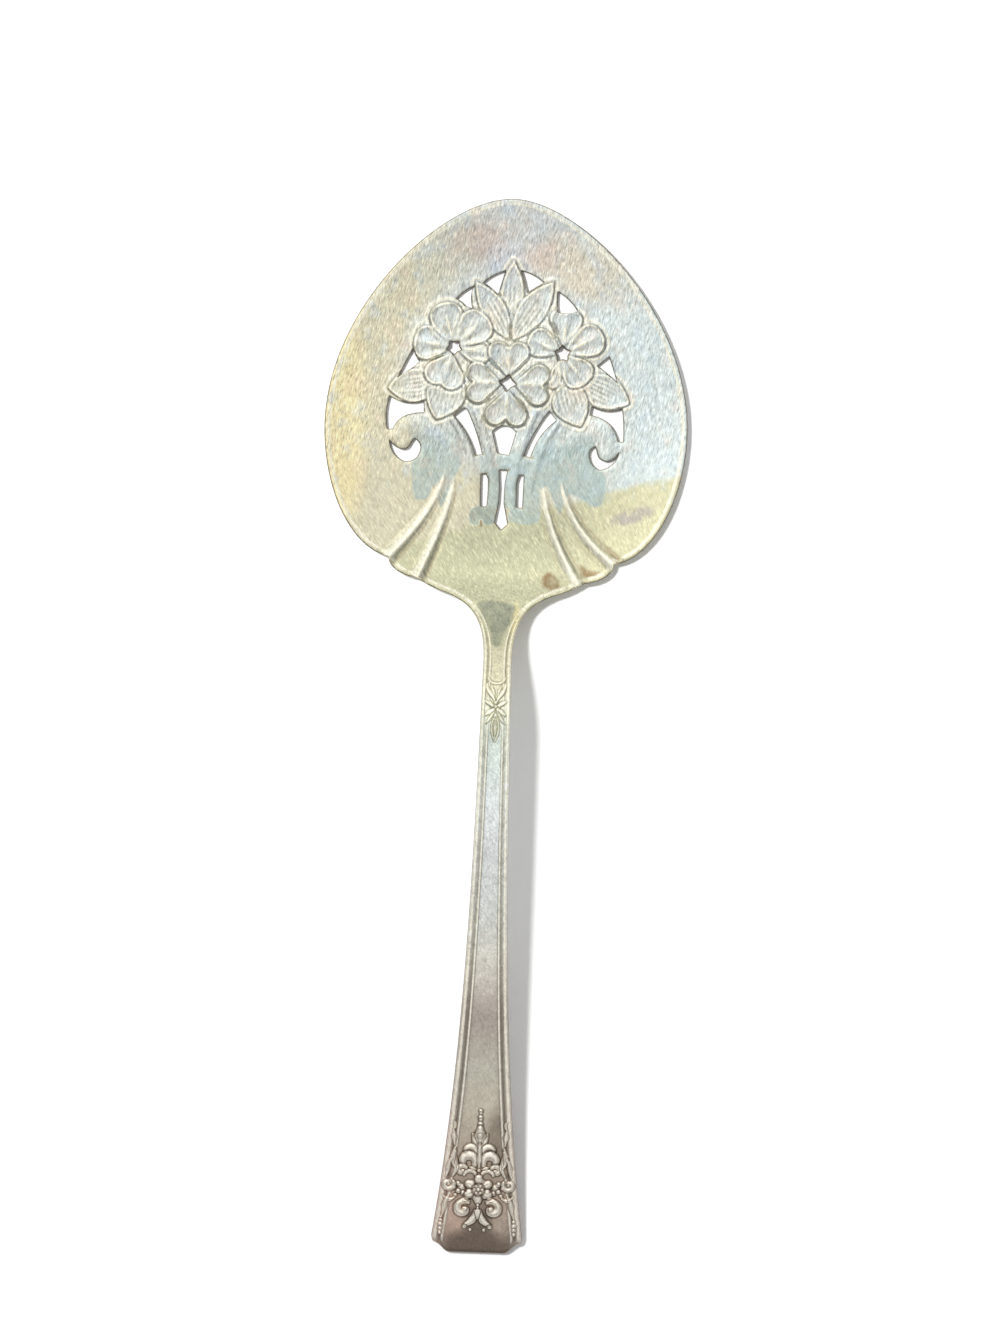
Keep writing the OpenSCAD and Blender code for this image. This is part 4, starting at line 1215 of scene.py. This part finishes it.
    # The panel of the handle is mottled, with a few long pale scratches
    gripped = ramp(y, -0.046, -0.062)
    worn = plus(times(swing(noise(2600, 3)), 0.75), times(swing(noise(620, 4)), 0.6))
    scratch = times(ramp(noise(520, 1, (1, 9, 1), 38), 0.67, 0.72), 0.16)
    value = plus(value, times(gripped, plus(worn, scratch)))
    shade = plus(times(value, less(1.0, times(brown, 0.35))), 1.0)
    # The clean upper blade glints bluish and pinkish in places
    clean = times(ramp(y, -0.02, -0.008), 0.32)
    colour = over(colour, linear("#c3d8ea"), times(ramp(tint, 0.5, 0.75), clean))
    colour = over(colour, linear("#ecd2bd"), times(ramp(tint, 0.5, 0.25), clean))
    final = node(t, "ShaderNodeVectorMath", {0: colour, 1: shade}, operation="MULTIPLY").outputs[0]
    rough = plus(0.33, times(swing(streak), 0.3))
    height = plus(times(streak, 0.6), times(grain, 0.4))
    normal = node(t, "ShaderNodeBump", {"Height": height, "Strength": 0.3, "Distance": 0.00006}).outputs[0]
    shader = node(t, "ShaderNodeBsdfPrincipled", {"Base Color": final, "Metallic": 1.0, "Roughness": rough,
                                                  "Normal": normal})
    node(t, "ShaderNodeOutputMaterial", {"Surface": shader.outputs[0]})
    return m


def pale_floor(colour):
    """Matt white paper: plain white to the camera and in the metal, with the object's shadow kept."""
    m = bpy.data.materials.new("matt_white_paper")
    m.use_nodes = True
    t = m.node_tree
    t.nodes.clear()
    rays = node(t, "ShaderNodeLightPath")
    seen = node(t, "ShaderNodeMath", {0: rays.outputs["Is Camera Ray"], 1: rays.outputs["Is Glossy Ray"]},
                operation="MAXIMUM").outputs[0]
    diffuse = node(t, "ShaderNodeBsdfDiffuse", {"Color": colour})
    lift = node(t, "ShaderNodeEmission", {"Color": colour, "Strength": 0.05})
    both = node(t, "ShaderNodeAddShader", {0: diffuse.outputs[0], 1: lift.outputs[0]})
    mixed = node(t, "ShaderNodeMixShader", {0: seen, 1: diffuse.outputs[0], 2: both.outputs[0]})
    node(t, "ShaderNodeOutputMaterial", {"Surface": mixed.outputs[0]})
    return m


# Operators

class SERVER_OT_body(bpy.types.Operator):
    """Makes the dressed server and puts it in place of the CAD node"""
    bl_idname = "server.make_body"
    bl_label = "Make Server"

    def execute(self, context):
        bm = server_mesh(context.scene.server_sizes)
        mesh = bpy.data.meshes.new("tomato_server")
        bm.to_mesh(mesh)
        bm.free()
        piece = bpy.data.objects.new("tomato_server", mesh)
        context.scene.collection.objects.link(piece)
        mesh.materials.append(worn_silver_plate_with_painted_light(context.scene.server_colours))
        print("server faces", len(mesh.polygons))
        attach(piece, "root")
        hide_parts("server")
        return {"FINISHED"}


class SERVER_OT_studio(bpy.types.Operator):
    """Makes the floor, the lights, the surroundings and the camera"""
    bl_idname = "server.make_studio"
    bl_label = "Make Studio"

    # The camera looks straight down, turned a little as the photo is, with its frame 252.8 mm high at the blade
    roll = math.radians(-2.09)
    aim = (0.49 * MM, (-44.69 - REST_FRONT) * MM)
    height = 0.7
    frame_height = 0.2528
    floor_half = 3.0
    floor_gap = 0.05 * MM
    key_place = (-0.32, 0.12, 0.9)
    key_aim = Vector((0, -0.05, 0))
    key_size = 0.1

    def execute(self, context):
        studio = context.scene.server_studio
        mesh = bpy.data.meshes.new("paper_floor")
        bm = bmesh.new()
        bmesh.ops.create_grid(bm, x_segments=1, y_segments=1, size=self.floor_half)
        bm.to_mesh(mesh)
        bm.free()
        floor = bpy.data.objects.new("paper_floor", mesh)
        mesh.transform(Matrix.Translation((0, 0, -self.floor_gap)))
        mesh.materials.append(pale_floor(tuple(studio.floor)))
        context.scene.collection.objects.link(floor)

        # The key light makes the shadow on the paper; the metal mirrors the sky of the studio and not the lamp
        light = bpy.data.lights.new("key_lamp", "AREA")
        light.shape = "DISK"
        light.size = self.key_size
        light.energy = studio.key_power
        lamp = bpy.data.objects.new("key_lamp", light)
        lamp.location = self.key_place
        lamp.rotation_euler = (self.key_aim - lamp.location).to_track_quat("-Z", "Y").to_euler()
        lamp.visible_glossy = False
        context.scene.collection.objects.link(lamp)

        world = bpy.data.worlds.new("soft_studio")
        context.scene.world = world
        world.use_nodes = True
        t = world.node_tree
        t.nodes.clear()
        way = node(t, "ShaderNodeTexCoord").outputs["Generated"]
        up = node(t, "ShaderNodeSeparateXYZ", {0: way}).outputs[2]
        high = node(t, "ShaderNodeMapRange", {0: up, 1: 0.5, 2: 0.95, 3: 0.36, 4: 0.95},
                    interpolation_type="SMOOTHSTEP").outputs[0]
        window = node(t, "ShaderNodeVectorMath", {0: way, 1: (-0.35, 0.85, 0.4)},
                      operation="DOT_PRODUCT").outputs["Value"]
        bright = node(t, "ShaderNodeMapRange", {0: window, 1: 0.35, 2: 0.9, 3: 0.0, 4: 0.7},
                      interpolation_type="SMOOTHSTEP").outputs[0]
        shade = node(t, "ShaderNodeMath", {0: high, 1: bright}, operation="ADD").outputs[0]
        rays = node(t, "ShaderNodeLightPath")
        # The paper takes half of its light from the sky and the rest from the key light
        share = node(t, "ShaderNodeMapRange", {0: rays.outputs["Is Diffuse Ray"], 3: 1.0, 4: 0.55}).outputs[0]
        shade = node(t, "ShaderNodeMath", {0: shade, 1: share}, operation="MULTIPLY").outputs[0]
        soft = node(t, "ShaderNodeBackground", {"Color": (1, 1, 1, 1), "Strength": shade})
        white = node(t, "ShaderNodeBackground", {"Color": (1, 1, 1, 1), "Strength": 1.0})
        mixed = node(t, "ShaderNodeMixShader", {0: rays.outputs["Is Camera Ray"], 1: soft.outputs[0],
                                                2: white.outputs[0]})
        node(t, "ShaderNodeOutputWorld", {"Surface": mixed.outputs[0]})

        lens = bpy.data.cameras.new("overhead")
        lens.sensor_fit = "VERTICAL"
        lens.sensor_height = 36
        lens.lens = 36 * self.height / self.frame_height
        camera = bpy.data.objects.new("overhead", lens)
        camera.location = (self.aim[0], self.aim[1], self.height)
        camera.rotation_euler = (0, 0, -self.roll)
        context.scene.collection.objects.link(camera)
        context.scene.camera = camera
        context.scene.view_settings.view_transform = "Standard"
        return {"FINISHED"}


class SERVER_PT_panel(bpy.types.Panel):
    """Lists the sizes, colours and steps of the server"""
    bl_idname = "SERVER_PT_panel"
    bl_label = "Tomato Server"
    bl_space_type = "VIEW_3D"
    bl_region_type = "UI"
    bl_category = "Server"

    def draw(self, context):
        scene = context.scene
        for group in (scene.server_sizes, scene.server_colours, scene.server_studio):
            box = self.layout.box()
            for name in group.bl_rna.properties.keys():
                if name not in {"rna_type", "name"}:
                    box.prop(group, name)
        for operator in (SERVER_OT_studio, SERVER_OT_body):
            self.layout.operator(operator.bl_idname)


CLASSES = (ServerSizes, ServerColours, StudioSettings, SERVER_OT_studio, SERVER_OT_body, SERVER_PT_panel)


def register():
    for cls in CLASSES:
        bpy.utils.register_class(cls)
    bpy.types.Scene.server_sizes = PointerProperty(type=ServerSizes)
    bpy.types.Scene.server_colours = PointerProperty(type=ServerColours)
    bpy.types.Scene.server_studio = PointerProperty(type=StudioSettings)


def unregister():
    del bpy.types.Scene.server_sizes
    del bpy.types.Scene.server_colours
    del bpy.types.Scene.server_studio
    for cls in reversed(CLASSES):
        bpy.utils.unregister_class(cls)


def main():
    register()
    bpy.ops.server.make_studio()
    bpy.ops.server.make_body()


if __name__ == "__main__":
    main()
